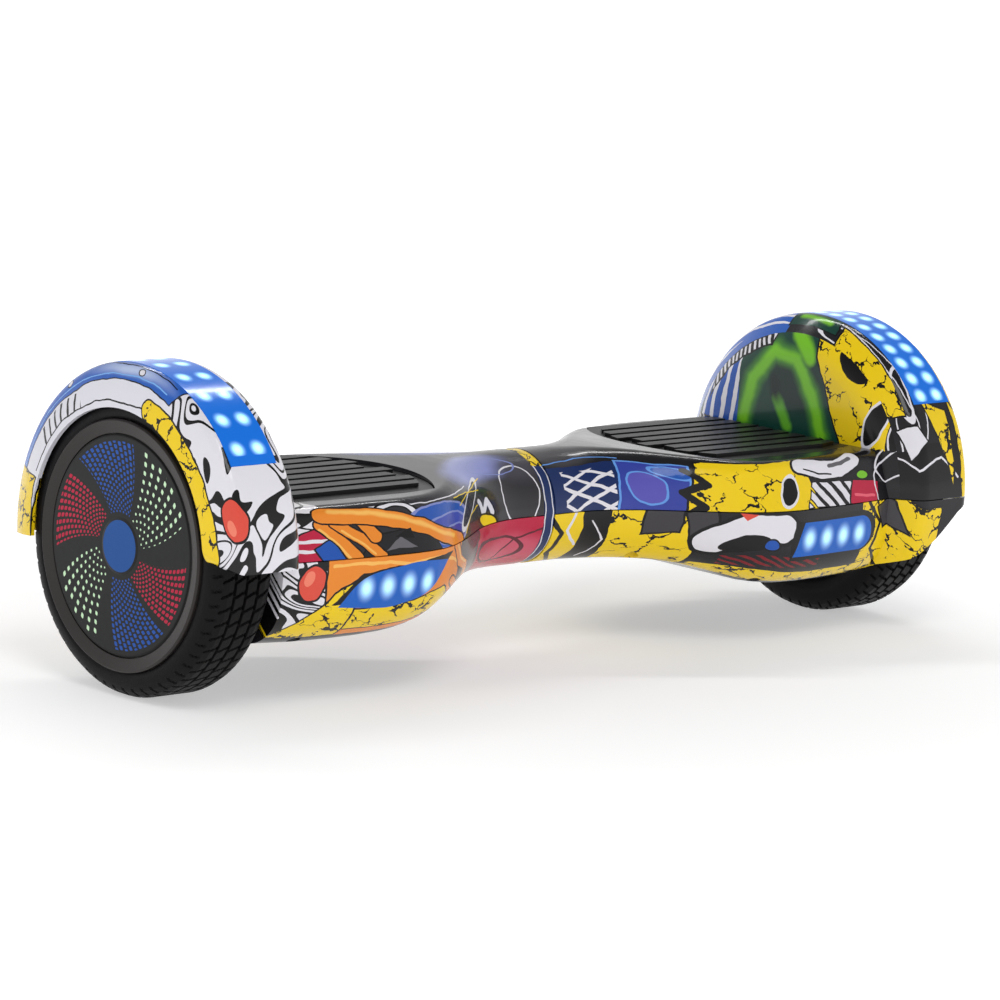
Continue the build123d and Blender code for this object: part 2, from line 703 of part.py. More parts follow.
def wheel_trim_ring():
    """Bevelled ring between the cap and the tyre."""
    inner, outer = TRIM_R
    outline = make_face(Polyline(
        (284, inner), (284, outer), (288.6, outer), (289.6, outer - 1), (287.6, inner), (284, inner)
    ))
    return around_axle(outline, 0, 360)


def wheel_cap():
    """Flat decorative cap with a raised centre."""
    outline = make_face(Polyline(
        (284, 0), (284, CAP_R), (287.2, CAP_R), (288, CAP_R - 1), (288.4, 16), (288.8, 14.3),
        (288.8, 0), (284, 0)
    ))
    return around_axle(outline, 0, 360)


# ---------------------------------------------------------------- power and controls
def battery_pack():
    """Battery pack on the floor of the left frame."""
    pack_y = (-INTERNAL_HALF_Y, INTERNAL_HALF_Y)
    pack = box(INTERNAL_X, pack_y, (FLOOR_Z + FRAME_PLATE, BATTERY_TOP))
    return fillet(pack.edges().filter_by(Axis.X), 6)


def main_board():
    """Control board on the floor of the right frame, with a heat sink and capacitors."""
    base = FLOOR_Z + FRAME_PLATE
    low, high = INTERNAL_X
    top = base + 5 + BOARD_THICK
    board = box(INTERNAL_X, (-INTERNAL_HALF_Y, INTERNAL_HALF_Y), (base + 5, top))
    for x in (low + 4, high - 4):
        for y in (-INTERNAL_HALF_Y + 6, INTERNAL_HALF_Y - 6):
            board += rod_z((base, base + 5), 3, x, y)
    board += box((low + 6, high - 5), (-36, -22), (top, top + 15.4))
    for x in (160, 178):
        board += rod_z((top, top + 21.4), 7, x, 28)
    for x in (150, 165, 180):
        board += box((x, x + 9), (-10, 0), (top, top + 7.4))
    return board


def rear_wall():
    """The outside of the bottom casing, which the rear flanges sit on."""
    return body_solid(LOWER_STATIONS, AXLE_Z, 0)


def power_bezel():
    """Ring in the rear wall that guides the power button, with its switch behind."""
    x, z = BUTTON_POS
    bezel = rod_y((FLANGE_Y, REAR_FACE_Y), BUTTON_R + 3, x, z)
    bezel += rod_y((FLANGE_Y, REAR_FACE_Y), BUTTON_R + 4.2, x, z) - rear_wall()
    bezel -= rod_y((FLANGE_Y + 2, REAR_FACE_Y + 1), BUTTON_R + 0.3, x, z)
    return bezel + rod_y((FLANGE_Y - 10, FLANGE_Y), 6, x, z)


def power_button():
    """Push button that switches the board on."""
    x, z = BUTTON_POS
    button = rod_y((FLANGE_Y + 2 + 2 * BUTTON_TRAVEL, REAR_FACE_Y + 1), BUTTON_R, x, z)
    edge = button.edges().filter_by(GeomType.CIRCLE).sort_by(Axis.Y)[-1]
    return fillet(edge, 0.8)


def charge_port():
    """Round charging socket with three pins and two ears for its cap's hinge."""
    x, z = PORT_POS
    port = rod_y((FLANGE_Y - 8, REAR_FACE_Y), PORT_R, x, z)
    port += rod_y((FLANGE_Y, REAR_FACE_Y), PORT_R + 2, x, z) - rear_wall()
    port -= rod_y((FLANGE_Y, REAR_FACE_Y + 1), PORT_R - 2.5, x, z)
    for index in range(3):
        angle = math.radians(90 + index * 120)
        port += rod_y((FLANGE_Y - 0.5, FLANGE_Y + 6), PORT_PIN_R,
                      x + PORT_PIN_CIRCLE_R * math.cos(angle),
                      z + PORT_PIN_CIRCLE_R * math.sin(angle))
    for side in (-1, 1):
        ear = (x + side * 5.5 - 1, x + side * 5.5 + 1)
        lug = box(ear, (REAR_FACE_Y - 1.5, CAP_PIN_Y), (z + PORT_R + 0.5, CAP_PIN_Z + CAP_BARREL_R))
        port += lug + rod_x(ear, CAP_BARREL_R, CAP_PIN_Y, CAP_PIN_Z)
    return port - rod_x((x - 8, x + 8), CAP_PIN_R, CAP_PIN_Y, CAP_PIN_Z)


def charge_cap_pin():
    """Pin of the charging cap's hinge."""
    x = PORT_POS[0]
    return rod_x((x - 6.5, x + 6.5), CAP_PIN_R, CAP_PIN_Y, CAP_PIN_Z)


def charge_port_cap():
    """Hinged cap over the charging socket, with a pull tab at its foot."""
    x, z = PORT_POS
    face = (REAR_FACE_Y + 0.4, REAR_FACE_Y + 2.6)
    cap = rod_y(face, PORT_R + 1, x, z)
    cap += rod_y((REAR_FACE_Y - 2.2, face[1]), PORT_R - 3.6, x, z)
    cap += box((x - 3, x + 3), face, (z - PORT_R - 3.5, z))
    cap += box((x - 4.2, x + 4.2), face, (z, CAP_PIN_Z))
    cap += rod_x((x - 4.2, x + 4.2), CAP_BARREL_R, CAP_PIN_Y, CAP_PIN_Z)
    return cap - rod_x((x - 8, x + 8), CAP_PIN_R + RUNNING, CAP_PIN_Y, CAP_PIN_Z)


# ---------------------------------------------------------------- write every node
def write(shape, name, left=False):
    """Write one node, mirrored to the left half when asked."""
    solids = (mirror(shape, about=Plane.YZ) if left else shape).solids()
    export_step(solids[0] if len(solids) == 1 else Compound(children=solids), f"parts/{name}.step")


REAR_HOLES = [(*BUTTON_POS, BUTTON_R + 3.1), (*PORT_POS, PORT_R + 0.1)]
BOTH_SIDES = {
    "upper_shell": upper_shell,
    "fender_lamp": fender_lamp,
    "shell_screws": shell_screws,
    "foot_pad": foot_pad,
    "pedal_plate": pedal_plate,
    "sensor_board": sensor_board,
    "axle_clamp": axle_clamp,
    "clamp_bolts": clamp_bolts,
    "motor_axle": motor_axle,
    "motor_stator": motor_stator,
    "motor_windings": motor_windings,
    "magnet_ring": magnet_ring,
    "rotor_shell": rotor_shell,
    "motor_side_cover": motor_side_cover,
    "cover_screws": cover_screws,
    "hub_bearings": hub_bearings,
    "tyre": tyre,
    "wheel_trim_ring": wheel_trim_ring,
    "wheel_cap": wheel_cap,
}
for name, make in BOTH_SIDES.items():
    shape = make()
    write(shape, f"{name}_right")
    write(shape, f"{name}_left", left=True)

write(fender_led_board(*RIGHT_LEDS), "fender_led_board_right")
write(fender_led_board(*LEFT_LEDS), "fender_led_board_left", left=True)
write(lower_shell(pill_outline(), True, REAR_HOLES), "lower_shell_right")
write(lower_shell(leaf_outline(), False, []), "lower_shell_left", left=True)
write(headlamp_lens(pill_outline(), True), "headlamp_lens_right")
write(headlamp_lens(leaf_outline(), False), "headlamp_lens_left", left=True)
write(headlamp_board(pill_outline()), "headlamp_board_right")
write(headlamp_board(leaf_outline()), "headlamp_board_left", left=True)
write(chassis_frame(BUSH_R, True), "chassis_frame_right")
write(chassis_frame(TUBE_R, False), "chassis_frame_left", left=True)

SINGLE_NODES = {
    "pivot_tube": pivot_tube,
    "pivot_bushes": pivot_bushes,
    "pivot_circlip": pivot_circlip,
    "pivot_trim_ring": pivot_trim_ring,
    "twist_stop_pin": twist_stop_pin,
    "main_board": main_board,
    "power_bezel": power_bezel,
    "power_button": power_button,
    "charge_port": charge_port,
    "charge_cap_pin": charge_cap_pin,
    "charge_port_cap": charge_port_cap,
}
for name, make in SINGLE_NODES.items():
    write(make(), name)
write(battery_pack(), "battery_pack", left=True)
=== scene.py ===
import json
import math

import bmesh
import bpy
from mathutils import Matrix, Vector

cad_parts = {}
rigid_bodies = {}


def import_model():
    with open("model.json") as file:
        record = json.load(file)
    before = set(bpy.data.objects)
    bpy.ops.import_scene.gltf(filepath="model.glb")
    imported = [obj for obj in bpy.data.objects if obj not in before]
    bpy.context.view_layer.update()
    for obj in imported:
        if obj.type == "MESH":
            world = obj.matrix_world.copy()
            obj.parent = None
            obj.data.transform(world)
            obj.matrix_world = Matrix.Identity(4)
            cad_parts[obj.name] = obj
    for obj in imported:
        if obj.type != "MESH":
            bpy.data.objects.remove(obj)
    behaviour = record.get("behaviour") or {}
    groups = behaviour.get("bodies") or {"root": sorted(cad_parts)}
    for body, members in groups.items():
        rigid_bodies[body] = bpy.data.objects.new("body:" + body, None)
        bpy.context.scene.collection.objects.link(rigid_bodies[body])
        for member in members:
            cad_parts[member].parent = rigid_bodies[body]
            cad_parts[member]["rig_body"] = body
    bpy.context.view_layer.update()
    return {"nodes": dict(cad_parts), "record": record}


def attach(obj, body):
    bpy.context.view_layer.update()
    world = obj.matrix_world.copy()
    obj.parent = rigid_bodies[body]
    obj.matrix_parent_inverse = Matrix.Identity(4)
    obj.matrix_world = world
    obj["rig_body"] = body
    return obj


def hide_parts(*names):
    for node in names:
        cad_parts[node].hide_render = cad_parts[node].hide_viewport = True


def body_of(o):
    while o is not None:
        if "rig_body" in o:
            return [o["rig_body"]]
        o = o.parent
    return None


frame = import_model()
nodes = frame["nodes"]
bpy.context.scene.view_settings.view_transform = "Standard"

# ---------------------------------------------------------------- sizes of the object, in mm
AXLE_Z = 84.0
CREST_R = 100.5
BARREL_R = 33.5
FENDER_MIDDLE = 265.0
FENDER_INBOARD = 250.0
MM = 1000.0  # in a metre
SIDES = ("left", "right")


# ---------------------------------------------------------------- helpers for objects and nodes
def add_object(name, data):
    """A new object in the scene."""
    thing = bpy.data.objects.new(name, data)
    bpy.context.scene.collection.objects.link(thing)
    return thing


def new_material(name):
    """A new material, with its node tree and its shader."""
    material = bpy.data.materials.new(name)
    material.use_nodes = True
    return material, material.node_tree, material.node_tree.nodes["Principled BSDF"]


def object_point(tree):
    """The point in the object's own coordinates."""
    return tree.nodes.new("ShaderNodeTexCoord").outputs["Object"]


def split(tree, vector):
    """The x, y and z of a vector."""
    node = tree.nodes.new("ShaderNodeSeparateXYZ")
    tree.links.new(vector, node.inputs[0])
    return node.outputs


def vector_node(tree, operation, first, second=None):
    """One vector operation; returns its node."""
    node = tree.nodes.new("ShaderNodeVectorMath")
    node.operation = operation
    tree.links.new(first, node.inputs[0])
    if isinstance(second, bpy.types.NodeSocket):
        tree.links.new(second, node.inputs[1])
    elif second is not None:
        node.inputs[1].default_value = second
    return node


def faded(tree, value, start, end, low, high):
    """A number that goes from low to high while the value goes from start to end."""
    node = tree.nodes.new("ShaderNodeMapRange")
    tree.links.new(value, node.inputs["Value"])
    node.inputs["From Min"].default_value = start
    node.inputs["From Max"].default_value = end
    node.inputs["To Min"].default_value = low
    node.inputs["To Max"].default_value = high
    return node.outputs["Result"]


def add_bump(tree, shader, height, strength, distance):
    """Fine relief on a shader."""
    bump = tree.nodes.new("ShaderNodeBump")
    bump.inputs["Strength"].default_value = strength
    bump.inputs["Distance"].default_value = distance
    tree.links.new(height.socket, bump.inputs["Height"])
    tree.links.new(bump.outputs["Normal"], shader.inputs["Normal"])


# ---------------------------------------------------------------- camera
CAMERA_AT = Vector((-1.9013, -2.0493, 0.5619))
CAMERA_YAW = math.radians(42.72)
CAMERA_DOWN = math.radians(9.64)
CAMERA_ROLL = math.radians(2.98)
CAMERA_LENS = 174.85


def add_camera():
    """The camera at the photograph's viewing angle."""
    data = bpy.data.cameras.new("camera")
    data.lens = CAMERA_LENS
    data.sensor_width = 36.0
    data.clip_end = 50.0
    ahead = Vector((math.sin(CAMERA_YAW) * math.cos(CAMERA_DOWN),
                    math.cos(CAMERA_YAW) * math.cos(CAMERA_DOWN), -math.sin(CAMERA_DOWN)))
    right = Vector((math.cos(CAMERA_YAW), -math.sin(CAMERA_YAW), 0.0))
    up = right.cross(ahead)
    across = right * math.cos(CAMERA_ROLL) + up * math.sin(CAMERA_ROLL)
    rise = up * math.cos(CAMERA_ROLL) - right * math.sin(CAMERA_ROLL)
    camera = add_object("camera", data)
    camera.matrix_world = Matrix((
        (across.x, rise.x, -ahead.x, CAMERA_AT.x),
        (across.y, rise.y, -ahead.y, CAMERA_AT.y),
        (across.z, rise.z, -ahead.z, CAMERA_AT.z),
        (0.0, 0.0, 0.0, 1.0),
    ))
    bpy.context.scene.camera = camera


add_camera()


# ---------------------------------------------------------------- stage and light
def add_stage():
    """A plain pale floor, brighter away from the object."""
    half = 6.0
    mesh = bpy.data.meshes.new("floor")
    mesh.from_pydata([(-half, -half, 0), (half, -half, 0), (half, half, 0), (-half, half, 0)],
                     [], [(0, 1, 2, 3)])
    floor = add_object("floor", mesh)
    material, tree, shader = new_material("floor_white")
    shader.inputs["Base Color"].default_value = (0.66, 0.66, 0.66, 1)
    shader.inputs["Roughness"].default_value = 0.9
    shader.inputs["Specular IOR Level"].default_value = 0.1
    shader.inputs["Emission Color"].default_value = (1, 1, 1, 1)
    away = vector_node(tree, "LENGTH", object_point(tree)).outputs["Value"]
    glow = faded(tree, away, start=0.12, end=0.95, low=0.36, high=0.85)
    tree.links.new(glow, shader.inputs["Emission Strength"])
    floor.data.materials.append(material)


LIGHT_TARGET = Vector((0, 0, 0.1))


def add_area(name, at, width, height, power):
    """A soft oblong light that points at the object."""
    data = bpy.data.lights.new(name, "AREA")
    data.shape = "RECTANGLE"
    data.size = width
    data.size_y = height
    data.energy = power
    lamp = add_object(name, data)
    lamp.location = at
    lamp.rotation_euler = (LIGHT_TARGET - Vector(at)).to_track_quat("-Z", "Y").to_euler()


def add_world(overhead, beside):
    """White surroundings that light the object less from above than from the sides."""
    world = bpy.data.worlds.new("studio")
    world.use_nodes = True
    tree = world.node_tree
    background = tree.nodes["Background"]
    background.inputs["Color"].default_value = (1, 1, 1, 1)
    direction = tree.nodes.new("ShaderNodeTexCoord").outputs["Generated"]
    height = split(tree, direction)[2]
    strength = faded(tree, height, start=0.15, end=0.8, low=beside, high=overhead)
    tree.links.new(strength, background.inputs["Strength"])
    bpy.context.scene.world = world


add_stage()
add_world(overhead=0.22, beside=1.0)
add_area("key", at=(-0.9, -1.5, 2.3), width=1.1, height=1.1, power=22)
add_area("top_strip", at=(0.5, 0.9, 1.5), width=1.6, height=0.09, power=9)


# ---------------------------------------------------------------- colours and shader arithmetic
BLACK = (15, 14, 16)
WHITE = (226, 224, 231)
YELLOW = (240, 205, 22)
ORANGE = (233, 137, 42)
AMBER = (247, 186, 92)
BLUE = (28, 82, 172)
NAVY = (20, 42, 92)
LILAC = (126, 137, 196)
SKY = (98, 152, 226)
FENDER_BLUE = (34, 92, 184)
CRIMSON = (186, 24, 62)
RED = (219, 78, 62)
SALMON = (238, 128, 104)
PINK = (206, 82, 108)
MAROON = (92, 26, 42)
SLATE = (62, 60, 64)
UNDERSIDE = (34, 33, 36)
GREEN = (118, 192, 38)
MINT = (206, 240, 200)
DEEP_GREEN = (18, 62, 52)
PURPLE = (70, 62, 150)


def linear(colour):
    """A display colour, 0 to 255, as the linear colour that a shader takes."""
    channels = [value / 255 for value in colour]
    return tuple(c / 12.92 if c <= 0.04045 else ((c + 0.055) / 1.055) ** 2.4
                 for c in channels) + (1.0,)


class Num:
    """A number inside a shader tree, with ordinary arithmetic."""

    def __init__(self, tree, socket):
        self.tree = tree
        self.socket = socket

    def op(self, name, *others):
        node = self.tree.nodes.new("ShaderNodeMath")
        node.operation = name
        for slot, value in zip(node.inputs, (self,) + others):
            if isinstance(value, Num):
                self.tree.links.new(value.socket, slot)
            else:
                slot.default_value = value
        return Num(self.tree, node.outputs[0])

    def __add__(self, other):
        return self.op("ADD", other)

    def __sub__(self, other):
        return self.op("SUBTRACT", other)

    def __mul__(self, other):
        return self.op("MULTIPLY", other)

    def __truediv__(self, other):
        return self.op("DIVIDE", other)

    def __neg__(self):
        return self.op("MULTIPLY", -1.0)

    def abs(self):
        return self.op("ABSOLUTE")

    def least(self, other):
        return self.op("MINIMUM", other)

    def most(self, other):
        return self.op("MAXIMUM", other)

    def below(self, other):
        return self.op("LESS_THAN", other)

    def above(self, other):
        return self.op("GREATER_THAN", other)


def ramp_value(value, low, high):
    """0 below low, 1 above high, and smooth between."""
    node = value.tree.nodes.new("ShaderNodeMapRange")
    node.interpolation_type = "SMOOTHSTEP"
    value.tree.links.new(value.socket, node.inputs["Value"])
    node.inputs["From Min"].default_value = low
    node.inputs["From Max"].default_value = high
    return Num(value.tree, node.outputs["Result"])


def set_or_link(tree, slot, value):
    """Give a socket a colour, a number or the output of another node."""
    if isinstance(value, Num):
        tree.links.new(value.socket, slot)
    elif isinstance(value, bpy.types.NodeSocket):
        tree.links.new(value, slot)
    elif isinstance(value, tuple):
        slot.default_value = linear(value)
    else:
        slot.default_value = value


def mix_colour(tree, factor, first, second):
    """first where the factor is 0, second where it is 1."""
    node = tree.nodes.new("ShaderNodeMix")
    node.data_type = "RGBA"
    set_or_link(tree, node.inputs[0], factor)
    set_or_link(tree, node.inputs[6], first)
    set_or_link(tree, node.inputs[7], second)
    return node.outputs[2]


def noise(tree, vector, scale, detail=2.0, distortion=0.0):
    """Smooth noise from 0 to 1."""
    node = tree.nodes.new("ShaderNodeTexNoise")
    node.inputs["Scale"].default_value = scale
    node.inputs["Detail"].default_value = detail
    node.inputs["Distortion"].default_value = distortion
    tree.links.new(vector, node.inputs["Vector"])
    return Num(tree, node.outputs["Fac"])


CANVAS_WOBBLE = 4.8


class Canvas:
    """A flat drawing, in millimetres across u and v, that ends in one colour.

    Its outlines wobble as if drawn by hand. Where behind is given, it is above 0 at the back of the
    board, so that a shape can be kept to the front.
    """

    def __init__(self, tree, u, v, behind=None):
        self.tree = tree
        self.behind = behind
        self.colour = WHITE
        flat = tree.nodes.new("ShaderNodeCombineXYZ")
        tree.links.new(u.socket, flat.inputs[0])
        tree.links.new(v.socket, flat.inputs[1])
        self.straight = flat.outputs[0]
        shift = self.texture(scale=0.06, detail=2.0)
        centred = vector_node(tree, "SUBTRACT", shift, (0.5, 0.5, 0.5))
        reach = (CANVAS_WOBBLE, CANVAS_WOBBLE, 0.0)
        scaled = vector_node(tree, "MULTIPLY", centred.outputs[0], reach)
        self.point = vector_node(tree, "ADD", self.straight, scaled.outputs[0]).outputs[0]

    def texture(self, scale, detail):
        """Noise with three channels, to shift points by."""
        node = self.tree.nodes.new("ShaderNodeTexNoise")
        node.inputs["Scale"].default_value = scale
        node.inputs["Detail"].default_value = detail
        self.tree.links.new(self.straight, node.inputs["Vector"])
        return node.outputs["Color"]

    def local(self, u, v, angle, across=1.0, along=1.0):
        """The point as seen from a turned and stretched frame at (u, v)."""
        node = self.tree.nodes.new("ShaderNodeMapping")
        node.vector_type = "TEXTURE"
        node.inputs["Location"].default_value = (u, v, 0)
        node.inputs["Rotation"].default_value = (0, 0, math.radians(angle))
        node.inputs["Scale"].default_value = (across, along, 1)
        self.tree.links.new(self.point, node.inputs["Vector"])
        return node.outputs[0]

    def length(self, vector):
        return Num(self.tree, vector_node(self.tree, "LENGTH", vector).outputs["Value"])

    def disc(self, u, v, across, along, angle=0.0):
        """Distance outside an ellipse."""
        inside = self.length(self.local(u, v, angle, across, along))
        return (inside - 1.0) * min(across, along)

    def block(self, u, v, across, along, angle=0.0):
        """Distance outside a rectangle, given by its half sizes."""
        near = self.local(u, v, angle)
        folded = vector_node(self.tree, "ABSOLUTE", near)
        past = vector_node(self.tree, "SUBTRACT", folded.outputs[0], (across, along, 0))
        parts = split(self.tree, past.outputs[0])
        return Num(self.tree, parts[0]).most(Num(self.tree, parts[1]))

    def stroke(self, start, end, width):
        """Distance outside a thick line with round ends."""
        across, rise = end[0] - start[0], end[1] - start[1]
        half = math.hypot(across, rise) / 2
        middle = ((start[0] + end[0]) / 2, (start[1] + end[1]) / 2)
        near = self.local(*middle, math.degrees(math.atan2(rise, across)))
        folded = vector_node(self.tree, "ABSOLUTE", near)
        past = vector_node(self.tree, "SUBTRACT", folded.outputs[0], (half, 0, 0))
        kept = vector_node(self.tree, "MAXIMUM", past.outputs[0], (0, 0, 0))
        return self.length(kept.outputs[0]) - width / 2

    def line(self, points, width):
        """Distance outside a bent thick line."""
        nearest = self.stroke(points[0], points[1], width)
        for start, end in zip(points[1:], points[2:]):
            nearest = nearest.least(self.stroke(start, end, width))
        return nearest

    def shape(self, *points):
        """Distance outside a convex outline, its points going anticlockwise."""
        furthest = None
        for start, end in zip(points, points[1:] + points[:1]):
            across, rise = end[0] - start[0], end[1] - start[1]
            size = math.hypot(across, rise)
            normal = (rise / size, -across / size)
            reach = normal[0] * start[0] + normal[1] * start[1]
            along = vector_node(self.tree, "DOT_PRODUCT", self.point, (*normal, 0))
            edge = Num(self.tree, along.outputs["Value"]) - reach
            furthest = edge if furthest is None else furthest.most(edge)
        return furthest

    def hatch(self, angle, pitch, width):
        """Distance outside evenly spaced straight lines."""
        parts = split(self.tree, self.local(0, 0, angle))
        return Num(self.tree, parts[0]).op("PINGPONG", pitch / 2) - width / 2

    def arc(self, u, v, across, along, width, angle=0.0):
        """Distance outside an elliptical ring."""
        return self.disc(u, v, across, along, angle).abs() - width / 2

    def fill(self, distance, colour):
        """Colour where the distance is below zero."""
        self.colour = mix_colour(self.tree, distance.below(0.0), self.colour, colour)

    def paint(self, distance, colour, outline=BLACK, width=1.2):
        """Colour with an ink outline."""
        self.fill(distance - width, outline)
        self.fill(distance, colour)

    def spray(self, distance, colour, soft):
        """Colour with a soft edge."""
        factor = ramp_value(distance, soft, -soft)
        self.colour = mix_colour(self.tree, factor, self.colour, colour)

    def cracked(self, cell=20.0):
        """Yellow crossed by thin broken cracks."""
        moved = vector_node(self.tree, "SCALE", self.texture(scale=0.16, detail=3.0))
        moved.inputs["Scale"].default_value = 16.0
        warped = vector_node(self.tree, "ADD", self.straight, moved.outputs[0])
        cells = self.tree.nodes.new("ShaderNodeTexVoronoi")
        cells.feature = "DISTANCE_TO_EDGE"
        cells.voronoi_dimensions = "2D"
        cells.inputs["Scale"].default_value = 1 / cell
        self.tree.links.new(warped.outputs[0], cells.inputs["Vector"])
        edge = Num(self.tree, cells.outputs["Distance"]) * cell
        thick = noise(self.tree, self.straight, 0.07, 1.0) * 5.0 - 2.05
        return mix_colour(self.tree, edge.below(thick), YELLOW, BLACK)

    def inked(self, lines=11.0, weight=0.3):
        """White covered with swinging black strokes of uneven width."""
        scale = 0.021
        height = noise(self.tree, self.straight, scale, 1.2, 1.0)
        wave = (height * lines * math.tau).op("SINE")
        uneven = noise(self.tree, self.straight, scale * 2.6, 0.0) * 1.1
        return mix_colour(self.tree, (wave + uneven - 0.55).above(weight), WHITE, BLACK)


# ---------------------------------------------------------------- the printed artwork
def place(tree):
    """Where a point is on the object at rest, as x, y and z in millimetres."""
    scaled = vector_node(tree, "SCALE", object_point(tree))
    scaled.inputs["Scale"].default_value = MM
    return [Num(tree, output) for output in split(tree, scaled.outputs[0])]


def from_axle(y, z):
    """How far a point is from the axle."""
    rise = z - AXLE_Z
    return (rise * rise + y * y).op("SQRT")


def near_body_art(art):
    """Front and top of the left half's upper casing."""
    art.colour = (44, 42, 47)
    # Painted reflection: a pale lilac patch on the top near the middle stands for the sheen of the
    # glossy top.
    art.spray(art.disc(56, 48, 34, 17), (132, 140, 202), 6.0)
    art.spray(art.disc(16, 40, 16, 12), (70, 68, 76), 8.0)
    art.fill(art.arc(22, 18, 15, 25, 0.9), WHITE)
    art.fill(art.arc(40, 44, 22, 10, 0.8), LILAC)
    art.paint(art.shape((204, -6), (252, -6), (252, 60), (214, 60)), art.inked())
    art.paint(art.shape((198, 2), (230, 1), (236, 20), (204, 30)), CRIMSON)
    art.fill(art.stroke((206, 8), (234, 12), 2.4), WHITE)
    art.fill(art.stroke((206, 15), (236, 19), 2.4), WHITE)
    art.paint(art.shape((192, -4), (212, -4), (219, 11), (203, 19)), BLUE)
    art.paint(art.shape((200, 22), (226, 28), (209, 36)), WHITE)
    # Painted highlight: a thin white line along the top front edge stands for the gloss on that
    # edge.
    art.fill(art.line([(222, 38), (180, 36), (124, 37), (84, 35)], 1.0), WHITE)
    art.paint(art.arc(160, 29, 14, 8, 2.6), WHITE)
    art.paint(art.disc(122, 17, 30, 16, 8), BLUE, LILAC, 1.4)
    art.paint(art.disc(116, 13, 22, 11, 8), (58, 74, 168), LILAC, 1.3)
    art.paint(art.disc(110, 9, 13, 6, 8), PURPLE, LILAC, 1.3)
    art.paint(art.shape((128, -4), (194, -4), (178, 15), (140, 17)), (31, 30, 33))
    art.fill(art.shape((150, 3), (172, 3), (160, 12)), (104, 102, 107))
    art.paint(art.line([(214, 28), (203, 16), (194, 1)], 8.4), ORANGE)
    art.paint(art.line([(204, 28), (188, 14), (176, 0)], 7.6), ORANGE)
    art.paint(art.line([(186, 28), (178, 14)], 8.0), ORANGE)
    art.fill(art.line([(216, 25), (206, 14), (198, 2)], 1.6), AMBER)
    art.fill(art.line([(200, 22), (190, 13), (180, 2)], 1.6), AMBER)
    art.paint(art.line([(212, 35), (180, 30), (142, 19), (108, 2)], 11.5), ORANGE)
    art.spray(art.line([(206, 37), (180, 32.5), (144, 21.5), (116, 8)], 3.4), AMBER, 1.2)
    art.fill(art.shape((150, 10), (164, 12), (152, 18)), BLACK)
    art.paint(art.disc(82, 21, 20, 5.6, -36), BLACK, WHITE, 1.3)
    art.fill(art.line([(106, 33), (86, 30), (64, 24)], 1.0), YELLOW)
    art.fill(art.line([(100, 25), (80, 29), (58, 33)], 1.0), YELLOW)
    art.fill(art.line([(96, 4), (84, 12), (70, 14)], 0.9), YELLOW)
    art.paint(art.line([(68, 16), (62, 7), (57, 14), (50, 5)], 4.2), WHITE)
    art.paint(art.disc(57, 1, 11, 3.6, 16), YELLOW)


def near_fender_art(art):
    """Left fender: along the arch, and from the inboard edge over the crest to the outboard rim."""
    art.colour = (222, 221, 230)
    strokes = art.inked(lines=9.0, weight=0.52)
    art.fill(art.shape((30, -80), (170, -80), (170, 70), (44, 70)), strokes)
    art.paint(art.shape((-140, 29), (46, 27), (42, 47), (-140, 47)), FENDER_BLUE, BLACK, 1.0)
    # Painted highlight: a soft pale blue patch on the blue band stands for its gloss.
    art.spray(art.disc(2, 38, 26, 4.5), (186, 200, 232), 4.0)
    art.fill(art.line([(-136, 34), (-60, 33), (40, 35)], 1.0), BLACK)
    art.fill(art.stroke((-130, 44), (36, 43), 0.9), (120, 176, 236))
    art.paint(art.disc(-58, 39, 2.3, 2.3), WHITE, BLACK, 0.8)
    art.paint(art.disc(10, 39, 2.3, 2.3), WHITE, BLACK, 0.8)
    ladder = art.hatch(12, 8.0, 2.2).most(art.block(-72, 56, 26, 6.5))
    art.fill(ladder, BLACK)
    art.fill(art.stroke((-118, 63), (30, 62), 1.0), BLACK)
    art.paint(art.shape((-170, 12), (-128, 20), (-124, 64), (-170, 66)), art.cracked(cell=13.0))
    art.paint(art.line([(30, 60), (70, 62), (112, 62), (150, 60)], 13.0), art.cracked(cell=13.0))
    art.fill(art.line([(-166, -24), (-120, -14), (-84, -22), (-40, -10)], 1.4), BLACK)
    art.fill(art.line([(-160, -4), (-116, 6), (-70, -2)], 1.0), BLACK)
    art.paint(art.disc(-108, -22, 15, 6, 12), CRIMSON)
    art.paint(art.disc(128, 38, 12, 9, -20), RED)
    art.fill(art.disc(131, 41, 5, 3, -20), SALMON)


